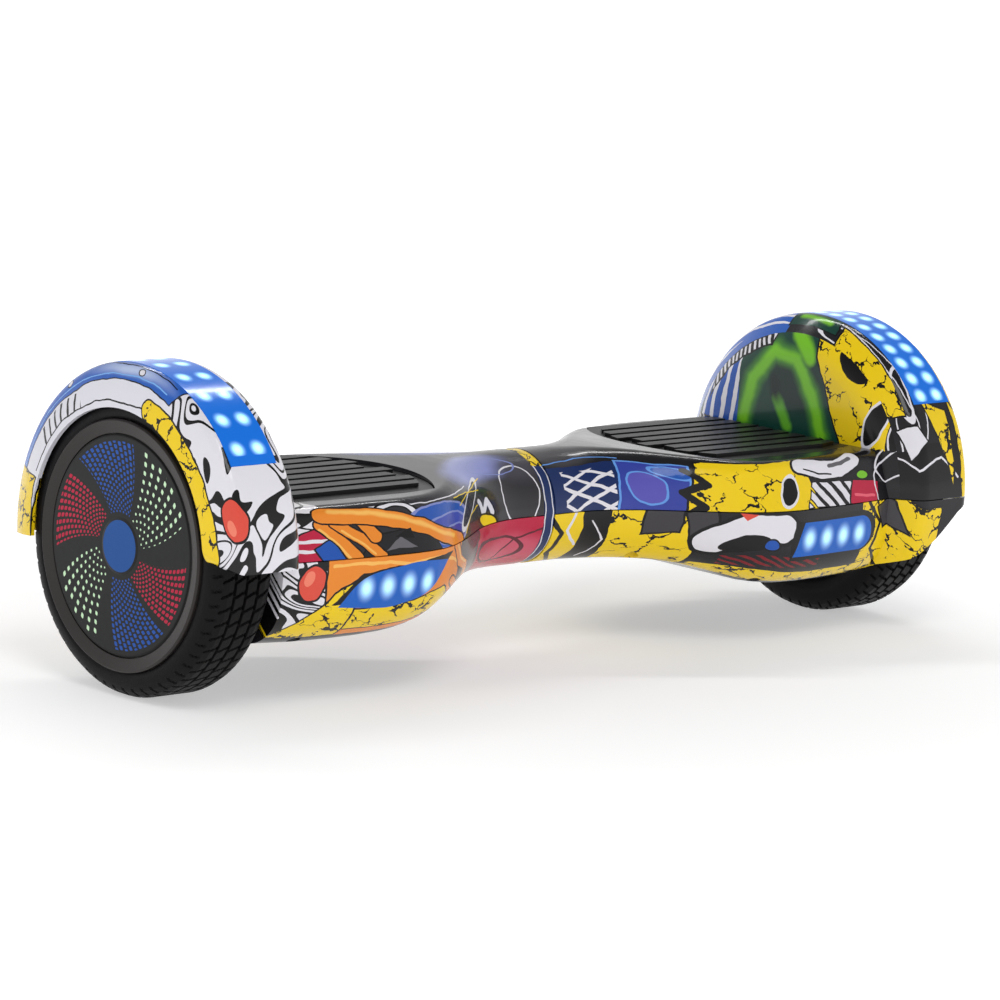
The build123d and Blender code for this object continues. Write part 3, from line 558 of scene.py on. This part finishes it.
def near_lower_art(art):
    """Left half's lower casing, round its leaf-shaped lamp."""
    art.colour = CRIMSON
    art.spray(art.disc(24, -24, 26, 13, 10), PINK, 6.0)
    art.fill(art.arc(40, -20, 24, 11, 2.0, 15), MAROON)
    art.fill(art.line([(4, -8), (26, -14), (44, -34), (52, -60)], 1.6), MAROON)
    art.paint(art.shape((58, -90), (100, -90), (104, 6), (72, 6)), (52, 26, 36))
    art.paint(art.line([(70, -4), (84, -16), (88, -34)], 5.0), MAROON, BLACK, 1.0)
    art.fill(art.shape((180, -110), (262, -110), (262, 6), (196, 6)), art.inked())
    art.paint(art.shape((110, -90), (212, -90), (212, 6), (104, 6)), ORANGE)
    art.fill(art.line([(208, -5), (170, -3), (128, -6), (108, -14)], 2.0), AMBER)
    art.paint(art.line([(112, -2), (104, -14), (92, -19), (84, -32)], 7.0), ORANGE)
    art.paint(art.line([(112, -26), (100, -34), (92, -46)], 6.0), ORANGE)
    art.fill(art.line([(110, -3), (102, -13), (92, -17)], 1.6), AMBER)
    strip = art.shape((100, -52), (210, -52), (204, -34), (122, -28))
    art.paint(strip, art.cracked(cell=13.0))
    art.paint(art.shape((196, -60), (246, -64), (206, -22), (190, -14)), art.cracked(cell=12.0))
    art.paint(art.disc(222, -16, 8, 11, 20), RED)
    art.fill(art.disc(224, -13, 3.4, 5, 20), SALMON)
    art.paint(art.shape((90, -160), (250, -160), (250, -64), (96, -60)), UNDERSIDE)
    art.fill(art.line([(100, -70), (160, -74), (240, -80)], 1.2), WHITE)
    leaf = art.shape((122, -7), (137, -23), (156, -28), (203, -27), (187, -12), (164, -7))
    art.fill((leaf - 2.0).most(art.behind), BLACK)
    art.fill(art.shape((-4, -140), (120, -140), (120, -60), (-4, -60)), UNDERSIDE)


def far_body_art(art):
    """Front and top of the right half's upper casing."""
    art.colour = (24, 23, 27)
    art.spray(art.disc(22, 56, 26, 20), (66, 64, 68), 6.0)
    laces = art.hatch(62, 10.5, 2.4).least(art.hatch(118, 10.5, 2.4))
    art.fill(art.block(26, -6, 26, 42), NAVY)
    art.fill(laces.most(art.block(31, 14, 18, 17)), WHITE)
    art.fill(art.line([(4, 40), (30, 44), (56, 40)], 1.0), SKY)
    art.paint(art.shape((50, -6), (86, -6), (88, 34), (54, 36)), (52, 66, 158), SKY, 1.4)
    art.paint(art.disc(66, 14, 9, 12, 24), (88, 84, 178), SKY, 1.1)
    art.paint(art.disc(80, 27, 10, 4.6, -20), BLUE, SKY, 1.0)
    art.paint(art.shape((84, -6), (168, -6), (162, 42), (94, 40)), art.cracked(cell=20.0))
    art.fill(art.line([(86, 30), (96, 20), (84, 12), (94, 3), (84, -4)], 5.0), BLACK)
    art.paint(art.disc(146, 15, 5.4, 12, -16), BLACK, WHITE, 1.3)
    art.paint(art.line([(160, 35), (176, 30), (190, 30), (204, 37)], 14.0), WHITE, BLACK, 1.8)
    art.fill(art.line([(184, 33), (194, 34), (202, 38)], 3.4), (96, 94, 98))
    art.fill(art.line([(162, 31), (174, 27), (184, 26)], 1.2), BLACK)
    fingers = art.hatch(32, 8.4, 5.0).most(art.shape((158, 0), (194, 0), (200, 19), (166, 20)))
    art.paint(fingers, WHITE, BLACK, 1.0)
    art.paint(art.shape((196, 2), (220, 0), (224, 18), (202, 20)), CRIMSON)
    art.fill(art.stroke((202, 8), (218, 7), 2.0), (232, 96, 116))
    art.paint(art.disc(212, 24, 4.6, 3.4), GREEN)
    art.fill(art.arc(240, 8, 18, 26, 1.0, 20), WHITE)
    art.fill(art.arc(246, 26, 22, 14, 1.0, -15), WHITE)


def wall_art(art):
    """A fender's wall beside the foot pad, across the board and upwards."""
    art.colour = DEEP_GREEN
    art.spray(art.disc(-4, 60, 22, 18), (12, 42, 38), 6.0)
    hoop = art.line([(40, 32), (33, 58), (17, 77), (-3, 73), (-17, 54), (-27, 30)], 12.0)
    art.spray(hoop, (78, 148, 42), 4.0)
    art.spray(hoop + 2.5, GREEN, 2.0)
    art.spray(art.stroke((4, 92), (-14, 76), 9.0), GREEN, 2.0)
    art.spray(art.stroke((12, 48), (2, 32), 7.0), (96, 172, 44), 2.0)
    art.spray(art.disc(14, 54, 4, 8, -20), (8, 26, 26), 3.0)
    art.paint(art.shape((-46, 20), (-10, 100), (-100, 100), (-100, 20)), art.cracked(cell=22.0))
    art.paint(art.disc(-46, 76, 12, 5.6, 38), BLACK)
    art.paint(art.disc(-69, 44, 5.6, 15, 14), BLACK, WHITE, 1.3)
    art.fill(art.block(62, 50, 17, 60), BLUE)
    art.fill(art.hatch(8, 9.0, 3.6).most(art.block(62, 50, 17, 60)), WHITE)
    zip_band = art.arc(0, 0, 86, 86, 8.0).most(art.block(46, 60, 26, 60))
    art.fill(zip_band, BLACK)
    art.fill(art.hatch(-38, 4.4, 2.0).most(zip_band + 1.2), WHITE)
    art.fill(art.shape((-88, 10), (-78, 10), (-78, 70), (-88, 70)), BLACK)
    art.fill(art.arc(-88, 40, 9, 26, 0.9), WHITE)


def far_fender_art(art):
    """Right fender: along the arch, and from the inboard edge over the crest to the rim."""
    art.colour = (28, 27, 31)
    art.fill(art.arc(60, -12, 48, 10, 1.0, 6), WHITE)
    art.fill(art.arc(104, -6, 34, 13, 1.0, -12), WHITE)
    art.fill(art.line([(20, -4), (70, -8), (110, -2), (160, -6)], 1.0), WHITE)
    art.paint(art.shape((-170, -70), (-20, -70), (-14, 2), (-170, 4)), FENDER_BLUE)
    art.fill(art.hatch(80, 9.0, 3.2).most(art.block(-92, -6, 78, 9)), WHITE)
    art.paint(art.shape((-16, -16), (26, -16), (22, 3), (-14, 3)), DEEP_GREEN)
    art.spray(art.stroke((-8, -6), (16, -8), 5.0), GREEN, 2.0)
    art.paint(art.shape((34, -40), (96, -40), (104, -11), (28, -7)), art.cracked(cell=16.0))
    art.paint(art.shape((60, 29), (170, 29), (170, 70), (60, 70)), art.cracked(cell=16.0))
    art.paint(art.shape((-170, 29), (58, 29), (58, 70), (-170, 70)), art.inked())
    art.paint(art.line([(-120, 40), (-60, 44), (-10, 40), (40, 46)], 9.0), CRIMSON)
    art.fill(art.shape((128, -70), (170, -70), (170, 28), (122, 28)), BLACK)
    art.fill(art.line([(126, -30), (140, -8), (132, 12), (146, 26)], 1.4), WHITE)
    art.paint(art.shape((112, -22), (132, -14), (122, 2), (112, -4)), WHITE, BLACK, 1.2)
    art.paint(art.shape((96, 6), (118, 12), (150, 22), (104, 24)), art.cracked(cell=10.0))
    art.fill(art.line([(-164, 8), (-130, 20), (-96, 10), (-60, 22)], 1.2), WHITE)
    art.paint(art.disc(-124, 16, 14, 5, 14), CRIMSON, WHITE, 1.0)


def far_lower_art(art):
    """Right half's lower casing, round its pill-shaped lamp."""
    art.colour = (30, 28, 32)
    art.fill(art.shape((-2, -70), (24, -70), (30, 8), (-2, 8)), YELLOW)
    art.fill(art.line([(2, -2), (12, -14), (8, -34), (20, -58)], 3.4), BLACK)
    art.fill(art.line([(22, 0), (16, -12), (26, -26)], 2.2), WHITE)
    art.fill(art.shape((26, -80), (52, -80), (56, 8), (28, 8)), BLACK)
    art.fill(art.line([(34, -6), (44, -20), (36, -44)], 1.2), WHITE)
    art.paint(art.shape((46, -90), (94, -90), (92, 6), (46, 6)), art.cracked(cell=19.0))
    art.paint(art.shape((64, -14), (82, -14), (84, 5), (66, 5)), SLATE)
    art.paint(art.block(94, -8, 7, 9, 12), SLATE)
    art.paint(art.line([(100, -22), (118, -13), (140, -12)], 19.0), WHITE, BLACK, 2.6)
    art.fill(art.shape((116, -8), (122, -3), (111, -2)), RED)
    art.paint(art.disc(118, -24, 12, 5, 10), BLACK)
    art.paint(art.disc(133, -24, 5, 3.4), BLUE)
    fur = art.hatch(62, 5.0, 2.2).most(art.block(140, -38, 34, 6, 4))
    art.fill(fur, (126, 24, 34))
    art.paint(art.shape((216, -80), (262, -80), (262, 6), (206, 6)), art.cracked(cell=15.0))
    art.fill(art.line([(214, -2), (226, -18), (220, -36), (236, -60)], 2.4), BLACK)
    art.paint(art.block(232, -12, 6, 8, 24), (66, 64, 68))
    art.paint(art.shape((88, -140), (220, -140), (220, -50), (96, -48)), art.cracked(cell=15.0))
    art.fill(art.shape((-4, -140), (262, -140), (262, -66), (-4, -66)), UNDERSIDE)
    pill = art.stroke((162, -20.5), (207, -20.5), 29.0).least(art.block(160, -20.5, 12, 14.5))
    art.fill(pill.most(art.behind), BLACK)


def ring_art(art):
    """The ring between the halves: yellow above and below, navy between, with pale front edges."""
    front = art.block(58, 0, 36, 9)
    art.colour = art.cracked(cell=9.0)
    art.fill(front, NAVY)
    art.fill(art.block(-58, 0, 36, 9), NAVY)
    edge = art.block(0, 2.9, 110, 0.4).least(art.block(0, -2.9, 110, 0.4))
    art.fill(edge.most(front), WHITE)


def casing_canvas(tree, x, y, z, side):
    """Canvas over a casing: out along the board, and from the seam up (side 1) or down (-1)."""
    out = x.abs()
    half = ramp_value(out, 34.0, 138.0) * 55.0 + BARREL_R
    inward = (half - y.abs()) * side
    return Canvas(tree, out, (z - AXLE_Z) + inward, behind=y)


def upper_canvas(tree, x, y, z):
    """Canvas over a top casing."""
    return casing_canvas(tree, x, y, z, 1.0)


def lower_canvas(tree, x, y, z):
    """Canvas over a bottom casing."""
    return casing_canvas(tree, x, y, z, -1.0)


def fender_canvas(tree, x, y, z):
    """Canvas over a fender: along the arch from its top to the front, and outboard."""
    along = (-y).op("ARCTAN2", z - AXLE_Z) * CREST_R
    out = x.abs()
    turn = (out - FENDER_MIDDLE).op("SIGN")
    return Canvas(tree, along, (out - FENDER_INBOARD) + turn * (-from_axle(y, z) + CREST_R))


def wall_canvas(tree, x, y, z):
    """Canvas over a fender's inboard wall: across the board, and up."""
    return Canvas(tree, y, z - AXLE_Z)


def ring_canvas(tree, x, y, z):
    """Canvas over the ring: round it from its top to the front, and along the board."""
    return Canvas(tree, (-y).op("ARCTAN2", z - AXLE_Z) * BARREL_R, x)


def printed_shell(name, canvas_over, draw):
    """Glossy printed plastic, with the drawing that draw(canvas) makes."""
    material, tree, shader = new_material(name)
    art = canvas_over(tree, *place(tree))
    draw(art)
    set_or_link(tree, shader.inputs["Base Color"], art.colour)
    point = object_point(tree)
    scuff = noise(tree, point, 60.0, 3.0)
    set_or_link(tree, shader.inputs["Roughness"], scuff * 0.12 + 0.14)
    shader.inputs["Specular IOR Level"].default_value = 0.2
    shader.inputs["Coat Weight"].default_value = 0.25
    shader.inputs["Coat Roughness"].default_value = 0.05
    add_bump(tree, shader, noise(tree, point, 420.0, 1.0), 0.05, 0.0002)
    return material


# Where the artwork changes on a top casing, in metres.
FENDER_EDGE = 0.236
WALL_FOOT = 0.1125
WALL_EDGE = 0.226


def artwork_zone(centre):
    """Which material a face takes: 0 the body, 1 the fender, 2 the fender's inboard wall."""
    if abs(centre.x) > FENDER_EDGE:
        return 1
    return 2 if abs(centre.x) > WALL_EDGE and centre.z > WALL_FOOT else 0


WELD_DISTANCE = 2e-6
SHARP_ANGLE = math.radians(32)


def smooth_copy(node, materials):
    """A copy of a CAD node, with even shading across its facets, that stands for the node."""
    source = nodes[node]
    mesh = source.data.copy()
    mesh.name = f"{node}_skin"
    mesh.materials.clear()
    for material in materials:
        mesh.materials.append(material)
    work = bmesh.new()
    work.from_mesh(mesh)
    bmesh.ops.remove_doubles(work, verts=work.verts, dist=WELD_DISTANCE)
    bmesh.ops.recalc_face_normals(work, faces=work.faces)
    if len(materials) > 1:
        for edge_x in (FENDER_EDGE, -FENDER_EDGE):
            everything = work.verts[:] + work.edges[:] + work.faces[:]
            bmesh.ops.bisect_plane(work, geom=everything, plane_co=(edge_x, 0, 0),
                                   plane_no=(1, 0, 0))
    for face in work.faces:
        face.smooth = True
        zone = artwork_zone(face.calc_center_median())
        face.material_index = zone if len(materials) > 1 else 0
    for edge in work.edges:
        edge.smooth = edge.is_manifold and edge.calc_face_angle(0.0) < SHARP_ANGLE
    work.to_mesh(mesh)
    work.free()
    if mesh.attributes.get("custom_normal"):
        mesh.attributes.remove(mesh.attributes["custom_normal"])
    piece = add_object(f"{node}_skin", mesh)
    weighted = piece.modifiers.new("weighted", "WEIGHTED_NORMAL")
    weighted.keep_sharp = True
    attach(piece, body_of(source)[0])
    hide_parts(node)


SHELLS = {
    "upper_shell_left": ((upper_canvas, near_body_art), (fender_canvas, near_fender_art),
                         (wall_canvas, wall_art)),
    "upper_shell_right": ((upper_canvas, far_body_art), (fender_canvas, far_fender_art),
                          (wall_canvas, wall_art)),
    "lower_shell_left": ((lower_canvas, near_lower_art),),
    "lower_shell_right": ((lower_canvas, far_lower_art),),
    "pivot_trim_ring": ((ring_canvas, ring_art),),
}
for node, prints in SHELLS.items():
    smooth_copy(node, [printed_shell(f"{node}_print_{index}", canvas_over, draw)
                       for index, (canvas_over, draw) in enumerate(prints)])


# ---------------------------------------------------------------- lights in the casing
STRIP_GLOW = (6, 92, 184)
LENS_GLOW = (14, 84, 170)
SPOT_GLOW = (150, 232, 255)
STRIP_MIDDLE = 265.5
STRIP_ROW = 7.0
LENS_PITCH = 15.0


def glowing(name, base, spots, strength, spot_strength):
    """Lit clear plastic: an even glow, with soft bright spots where spots(x, y, z) is 1."""
    material, tree, shader = new_material(name)
    spot = spots(*place(tree))
    set_or_link(tree, shader.inputs["Base Color"], mix_colour(tree, spot * 0.5, base, WHITE))
    set_or_link(tree, shader.inputs["Emission Color"], mix_colour(tree, spot, base, SPOT_GLOW))
    set_or_link(tree, shader.inputs["Emission Strength"], spot * spot_strength + strength)
    shader.inputs["Roughness"].default_value = 0.16
    shader.inputs["Specular IOR Level"].default_value = 0.25
    shader.inputs["Coat Weight"].default_value = 0.15
    shader.inputs["Coat Roughness"].default_value = 0.04
    return material


def strip_spots(count, first, last):
    """Two rows of lights along a fender's crest, from first to last degrees towards the front."""
    pitch = (last - first) / (count - 1)

    def spots(x, y, z):
        degrees = (-y).op("ARCTAN2", z - AXLE_Z) * (180 / math.pi)
        beside = ((degrees - first) / pitch).op("PINGPONG", 0.5)
        beside = beside * (pitch * CREST_R * math.pi / 180)
        beside = beside + ramp_value(degrees, last + 2, last + 4) * 20.0
        beside = beside + ramp_value(degrees, first - 2, first - 4) * 20.0
        across = (x.abs() - STRIP_MIDDLE).abs() - STRIP_ROW
        away = (beside * beside + across * across).op("SQRT")
        return ramp_value(away, 6.4, 0.6)
    return spots


def lamp_spots(middle, height):
    """A row of four lights behind a headlamp lens, round a place on the casing's front."""
    def spots(x, y, z):
        out = x.abs() - middle
        along = (out - LENS_PITCH / 2).op("PINGPONG", LENS_PITCH / 2)
        up = (z - height) * 0.8
        away = (along * along + up * up).op("SQRT")
        past = ramp_value(out.abs(), 28.0, 33.0)
        return ramp_value(away, 7.6, 0.4) * (-past + 1.0)
    return spots


def assign(node, material):
    """Give a CAD node its material."""
    mesh = nodes[node].data
    mesh.materials.clear()
    mesh.materials.append(material)


def soften(node, width):
    """Round a CAD node's edges a little, and shade it evenly."""
    weld = nodes[node].modifiers.new("weld", "WELD")
    weld.merge_threshold = WELD_DISTANCE
    bevel = nodes[node].modifiers.new("bevel", "BEVEL")
    bevel.width = width
    bevel.segments = 2
    bevel.angle_limit = math.radians(30)
    weighted = nodes[node].modifiers.new("weighted", "WEIGHTED_NORMAL")
    weighted.keep_sharp = True


LAMPS = {
    "fender_lamp_left": ("strip_left", STRIP_GLOW, strip_spots(6, -5.5, 50.5), 0.55, 1.1),
    "fender_lamp_right": ("strip_right", STRIP_GLOW, strip_spots(9, -4.0, 53.0), 0.55, 1.1),
    "headlamp_lens_left": ("lens_left", LENS_GLOW, lamp_spots(162.5, 66.5), 0.28, 0.75),
    "headlamp_lens_right": ("lens_right", LENS_GLOW, lamp_spots(184.0, 65.5), 0.28, 0.75),
}
for node, look in LAMPS.items():
    assign(node, glowing(*look))


# ---------------------------------------------------------------- plain materials
def finish_material(name, colour, rough, metal=0.0, grain=400.0, relief=0.1, stretch=(1, 1, 1),
                    coat=0.0, vary=0.15, shine=0.5):
    """A material with fine grain, uneven gloss and slight colour variation."""
    material, tree, shader = new_material(name)
    mapping = tree.nodes.new("ShaderNodeMapping")
    mapping.inputs["Scale"].default_value = stretch
    tree.links.new(object_point(tree), mapping.inputs["Vector"])
    fine = noise(tree, mapping.outputs["Vector"], grain, 3.0)
    broad = noise(tree, mapping.outputs["Vector"], 22.0, 3.0)
    dark = tuple(round(channel * (1 - vary)) for channel in colour)
    pale = tuple(min(255, round(channel * (1 + vary) + 4)) for channel in colour)
    set_or_link(tree, shader.inputs["Base Color"], mix_colour(tree, broad, dark, pale))
    gloss = (fine - 0.5) * 0.2 + broad * 0.1 + (rough - 0.05)
    set_or_link(tree, shader.inputs["Roughness"], gloss)
    shader.inputs["Metallic"].default_value = metal
    shader.inputs["Specular IOR Level"].default_value = shine
    shader.inputs["Coat Weight"].default_value = coat
    shader.inputs["Coat Roughness"].default_value = 0.08
    add_bump(tree, shader, fine, relief, 0.0004)
    return material


FINISHES = {
    "circuit_board": finish_material("board_green", (22, 92, 52), 0.35, 0.0, 900, 0.08, vary=0.3),
    "steel_fastener": finish_material("black_steel", (58, 58, 60), 0.38, 1.0, 1200, 0.1),
    "black_plastic": finish_material("moulded_black_plastic", (20, 20, 22), 0.42, 0.0, 1500, 0.25,
                                     shine=0.3),
    "cast_aluminium": finish_material("cast_metal", (182, 184, 187), 0.42, 1.0, 700, 0.3),
    "steel": finish_material("ground_steel", (190, 191, 194), 0.24, 1.0, 900, 0.08, (0.06, 1, 1)),
    "laminated_core": finish_material("laminations", (98, 98, 103), 0.45, 0.9, 700, 0.5,
                                      (6, 0.4, 0.4)),
    "copper_wire": finish_material("enamelled_copper", (186, 96, 52), 0.3, 0.9, 900, 0.6,
                                   (5, 1, 1)),
    "magnet": finish_material("nickel_plate", (196, 196, 200), 0.18, 1.0, 900, 0.05),
    "bronze": finish_material("sintered_bronze", (176, 130, 72), 0.4, 1.0, 1800, 0.2),
    "battery_wrap": finish_material("blue_wrap", (14, 62, 138), 0.28, 0.0, 160, 0.25, coat=0.4),
    "power_button_plastic": finish_material("button_grey", (178, 180, 185), 0.25, 0.0, 900, 0.05,
                                            coat=0.3),
    "cap_rubber": finish_material("soft_black_rubber", (28, 28, 29), 0.6, 0.0, 1400, 0.2),
    "grey_plastic": finish_material("grey_brown_plastic", (42, 38, 37), 0.34, 0.0, 900, 0.1,
                                    shine=0.25),
    "foot_pad_rubber": finish_material("pad_rubber", (13, 13, 15), 0.4, 0.0, 1500, 0.12,
                                       shine=0.28),
    "tyre_rubber": finish_material("tread_rubber", (13, 12, 14), 0.5, 0.0, 1100, 0.35, shine=0.12),
}
DONE = set(SHELLS) | set(LAMPS) | {f"{name}_{side}" for name in ("wheel_cap", "tyre")
                                   for side in SIDES}
for part in frame["record"]["subparts"]:
    if part["node"] not in DONE:
        assign(part["node"], FINISHES[part["material_slot"]])


# ---------------------------------------------------------------- foot pads and small edges
for side in SIDES:
    soften(f"foot_pad_{side}", 0.0008)
for node in ("power_button", "power_bezel", "charge_port_cap", "wheel_trim_ring_left",
             "wheel_trim_ring_right"):
    soften(node, 0.0003)


# ---------------------------------------------------------------- wheel caps
# Where each vane starts, as a share of a turn, and its colour; None is the dark gap after it.
VANES = [
    (0.0, BLUE), (0.046, None), (0.07, MINT), (0.215, None), (0.275, CRIMSON),
    (0.385, None), (0.402, BLUE), (0.53, None), (0.57, MINT), (0.708, None),
    (0.75, CRIMSON), (0.872, None), (0.905, BLUE),
]
VANE_START = 2.026
VANE_START_R = 58.0
VANE_TWIST = 0.0011
DOT_COUNT, PALE_DOT_COUNT = 84.0, 50.0
DOT_PITCH, PALE_DOT_PITCH = 3.2, 4.7
DOTS_FROM, DOTS_TO = 18.5, 57.5
CENTRE_R = 14.3
RIM_R = 60.4


def vane_colours(tree, share):
    """The vanes' colours round the cap, and pure black between them."""
    ramp = tree.nodes.new("ShaderNodeValToRGB")
    ramp.color_ramp.interpolation = "CONSTANT"
    stops = ramp.color_ramp.elements
    stops.remove(stops[1])
    stops[0].position = 0.0
    stops[0].color = linear(VANES[0][1])
    for position, colour in VANES[1:]:
        stop = stops.new(position)
        stop.color = linear(colour) if colour else (0, 0, 0, 1)
    tree.links.new(share.socket, ramp.inputs["Fac"])
    return ramp.outputs["Color"]


def cap_dots(share, radius, pale):
    """1 on the dots, which stand in rings like bricks, and 0 between them."""
    count = pale * (PALE_DOT_COUNT - DOT_COUNT) + DOT_COUNT
    pitch = pale * (PALE_DOT_PITCH - DOT_PITCH) + DOT_PITCH
    beside = (share * count).op("PINGPONG", 0.5) * (radius * math.tau / count)
    shifted = (share * count * 0.5 + 0.25).op("FRACT").above(0.5) * 0.5
    above = (radius / pitch + shifted).op("PINGPONG", 0.5) * pitch
    squarish = (beside * beside * beside * beside + above * above * above * above).op("POWER", 0.25)
    dot = squarish.below((radius - 18.0) * 0.018 + 0.55)
    return dot * radius.above(DOTS_FROM) * radius.below(DOTS_TO)


def cap_material():
    """Dark cap with six swept vanes of coloured dots round a blue centre."""
    material, tree, shader = new_material("wheel_cap_print")
    x, y, z = place(tree)
    radius = from_axle(y, z)
    swirl = (radius - VANE_START_R) * VANE_TWIST
    turn = (y * x.op("SIGN")).op("ARCTAN2", z - AXLE_Z) * (0.5 / math.pi)
    share = (turn + swirl + VANE_START).op("FRACT")
    vanes = vane_colours(tree, share)
    lit = tree.nodes.new("ShaderNodeSeparateColor")
    tree.links.new(vanes, lit.inputs["Color"])
    red, green, blue = [Num(tree, output) for output in lit.outputs]
    dot = cap_dots(share, radius, green.above(0.5)) * (red + green + blue).above(0.02)
    point = object_point(tree)
    dark = mix_colour(tree, noise(tree, point, 300.0), (20, 21, 21), (30, 31, 31))
    colour = mix_colour(tree, dot, dark, vanes)
    colour = mix_colour(tree, radius.below(CENTRE_R), colour, (20, 78, 150))
    edge = (radius - RIM_R).abs().below(0.7)
    set_or_link(tree, shader.inputs["Base Color"], mix_colour(tree, edge, colour, (12, 12, 12)))
    set_or_link(tree, shader.inputs["Roughness"], noise(tree, point, 900.0) * 0.1 + 0.3)
    shader.inputs["Specular IOR Level"].default_value = 0.18
    add_bump(tree, shader, dot, 0.25, 0.0004)
    return material


CAP_MATERIAL = cap_material()
for side in SIDES:
    assign(f"wheel_cap_{side}", CAP_MATERIAL)


# ---------------------------------------------------------------- tyres
TREAD_STEPS = 900
TREAD_BLOCKS = 60
TREAD_DEPTH = 1.8
TREAD_LINES = (-8.0, 0.0, 8.0)
TREAD_HALF = 19.0
TREAD_FROM_R = 79.0
LINE_HALF = 0.85
ROW_WIDTH = 8.0
TYRE_SECTION = [
    (-16.0, 62.0), (-19.4, 65.9), (-21.4, 71.8), (-20.6, 76.4), (-19.0, 80.0), (-16.0, 82.6),
    (-12.4, 83.9), (12.4, 83.9), (16.0, 82.6), (19.0, 80.0), (20.8, 76.4), (21.4, 73.0),
    (21.2, 71.5), (20.4, 69.9), (17.5, 69.85), (17.5, 62.0),
]
TYRE_MIDDLE = 266.5


def tyre_profile():
    """The tyre's cross-section, with points close together across the tread."""
    points = []
    for start, end in zip(TYRE_SECTION, TYRE_SECTION[1:]):
        on_tread = min(start[1], end[1]) > TREAD_FROM_R
        count = max(1, round(math.dist(start, end) / (0.5 if on_tread else 2.0)))
        for step in range(count):
            t = step / count
            points.append((start[0] + (end[0] - start[0]) * t, start[1] + (end[1] - start[1]) * t))
    return points


def tread_cut(across, turn):
    """How deep the tread is cut at a place, in millimetres."""
    if abs(across) > TREAD_HALF:
        return 0.0
    for line in TREAD_LINES:
        if abs(across - line) < LINE_HALF:
            return TREAD_DEPTH
    row = math.floor((across + 3 * ROW_WIDTH) / ROW_WIDTH)
    phase = (turn * TREAD_BLOCKS + across * 0.055 + row * 0.5) % 1.0
    return TREAD_DEPTH * 0.8 if phase < 0.17 else 0.0


def add_tyre(side):
    """A tyre with a cut tread, that stands for the CAD tyre."""
    sign = -1 if side == "left" else 1
    profile = tyre_profile()
    verts = []
    for step in range(TREAD_STEPS):
        turn = step / TREAD_STEPS
        angle = turn * math.tau
        for across, radius in profile:
            cut = radius - (tread_cut(across, turn) if radius > TREAD_FROM_R else 0.0)
            verts.append((sign * (TYRE_MIDDLE + across) / MM, cut * math.sin(angle) / MM,
                          (AXLE_Z + cut * math.cos(angle)) / MM))
    faces = []
    count = len(profile)
    for step in range(TREAD_STEPS):
        after = (step + 1) % TREAD_STEPS
        for index in range(count):
            over = (index + 1) % count
            faces.append((step * count + index, step * count + over,
                          after * count + over, after * count + index))
    mesh = bpy.data.meshes.new(f"tread_{side}")
    mesh.from_pydata(verts, [], faces)
    work = bmesh.new()
    work.from_mesh(mesh)
    bmesh.ops.recalc_face_normals(work, faces=work.faces)
    for face in work.faces:
        face.smooth = True
    for edge in work.edges:
        edge.smooth = edge.calc_face_angle(0.0) < math.radians(35)
    work.to_mesh(mesh)
    work.free()
    mesh.materials.append(FINISHES["tyre_rubber"])
    tyre = add_object(f"tread_{side}", mesh)
    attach(tyre, f"wheel_{side}")
    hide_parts(f"tyre_{side}")


for side in SIDES:
    add_tyre(side)
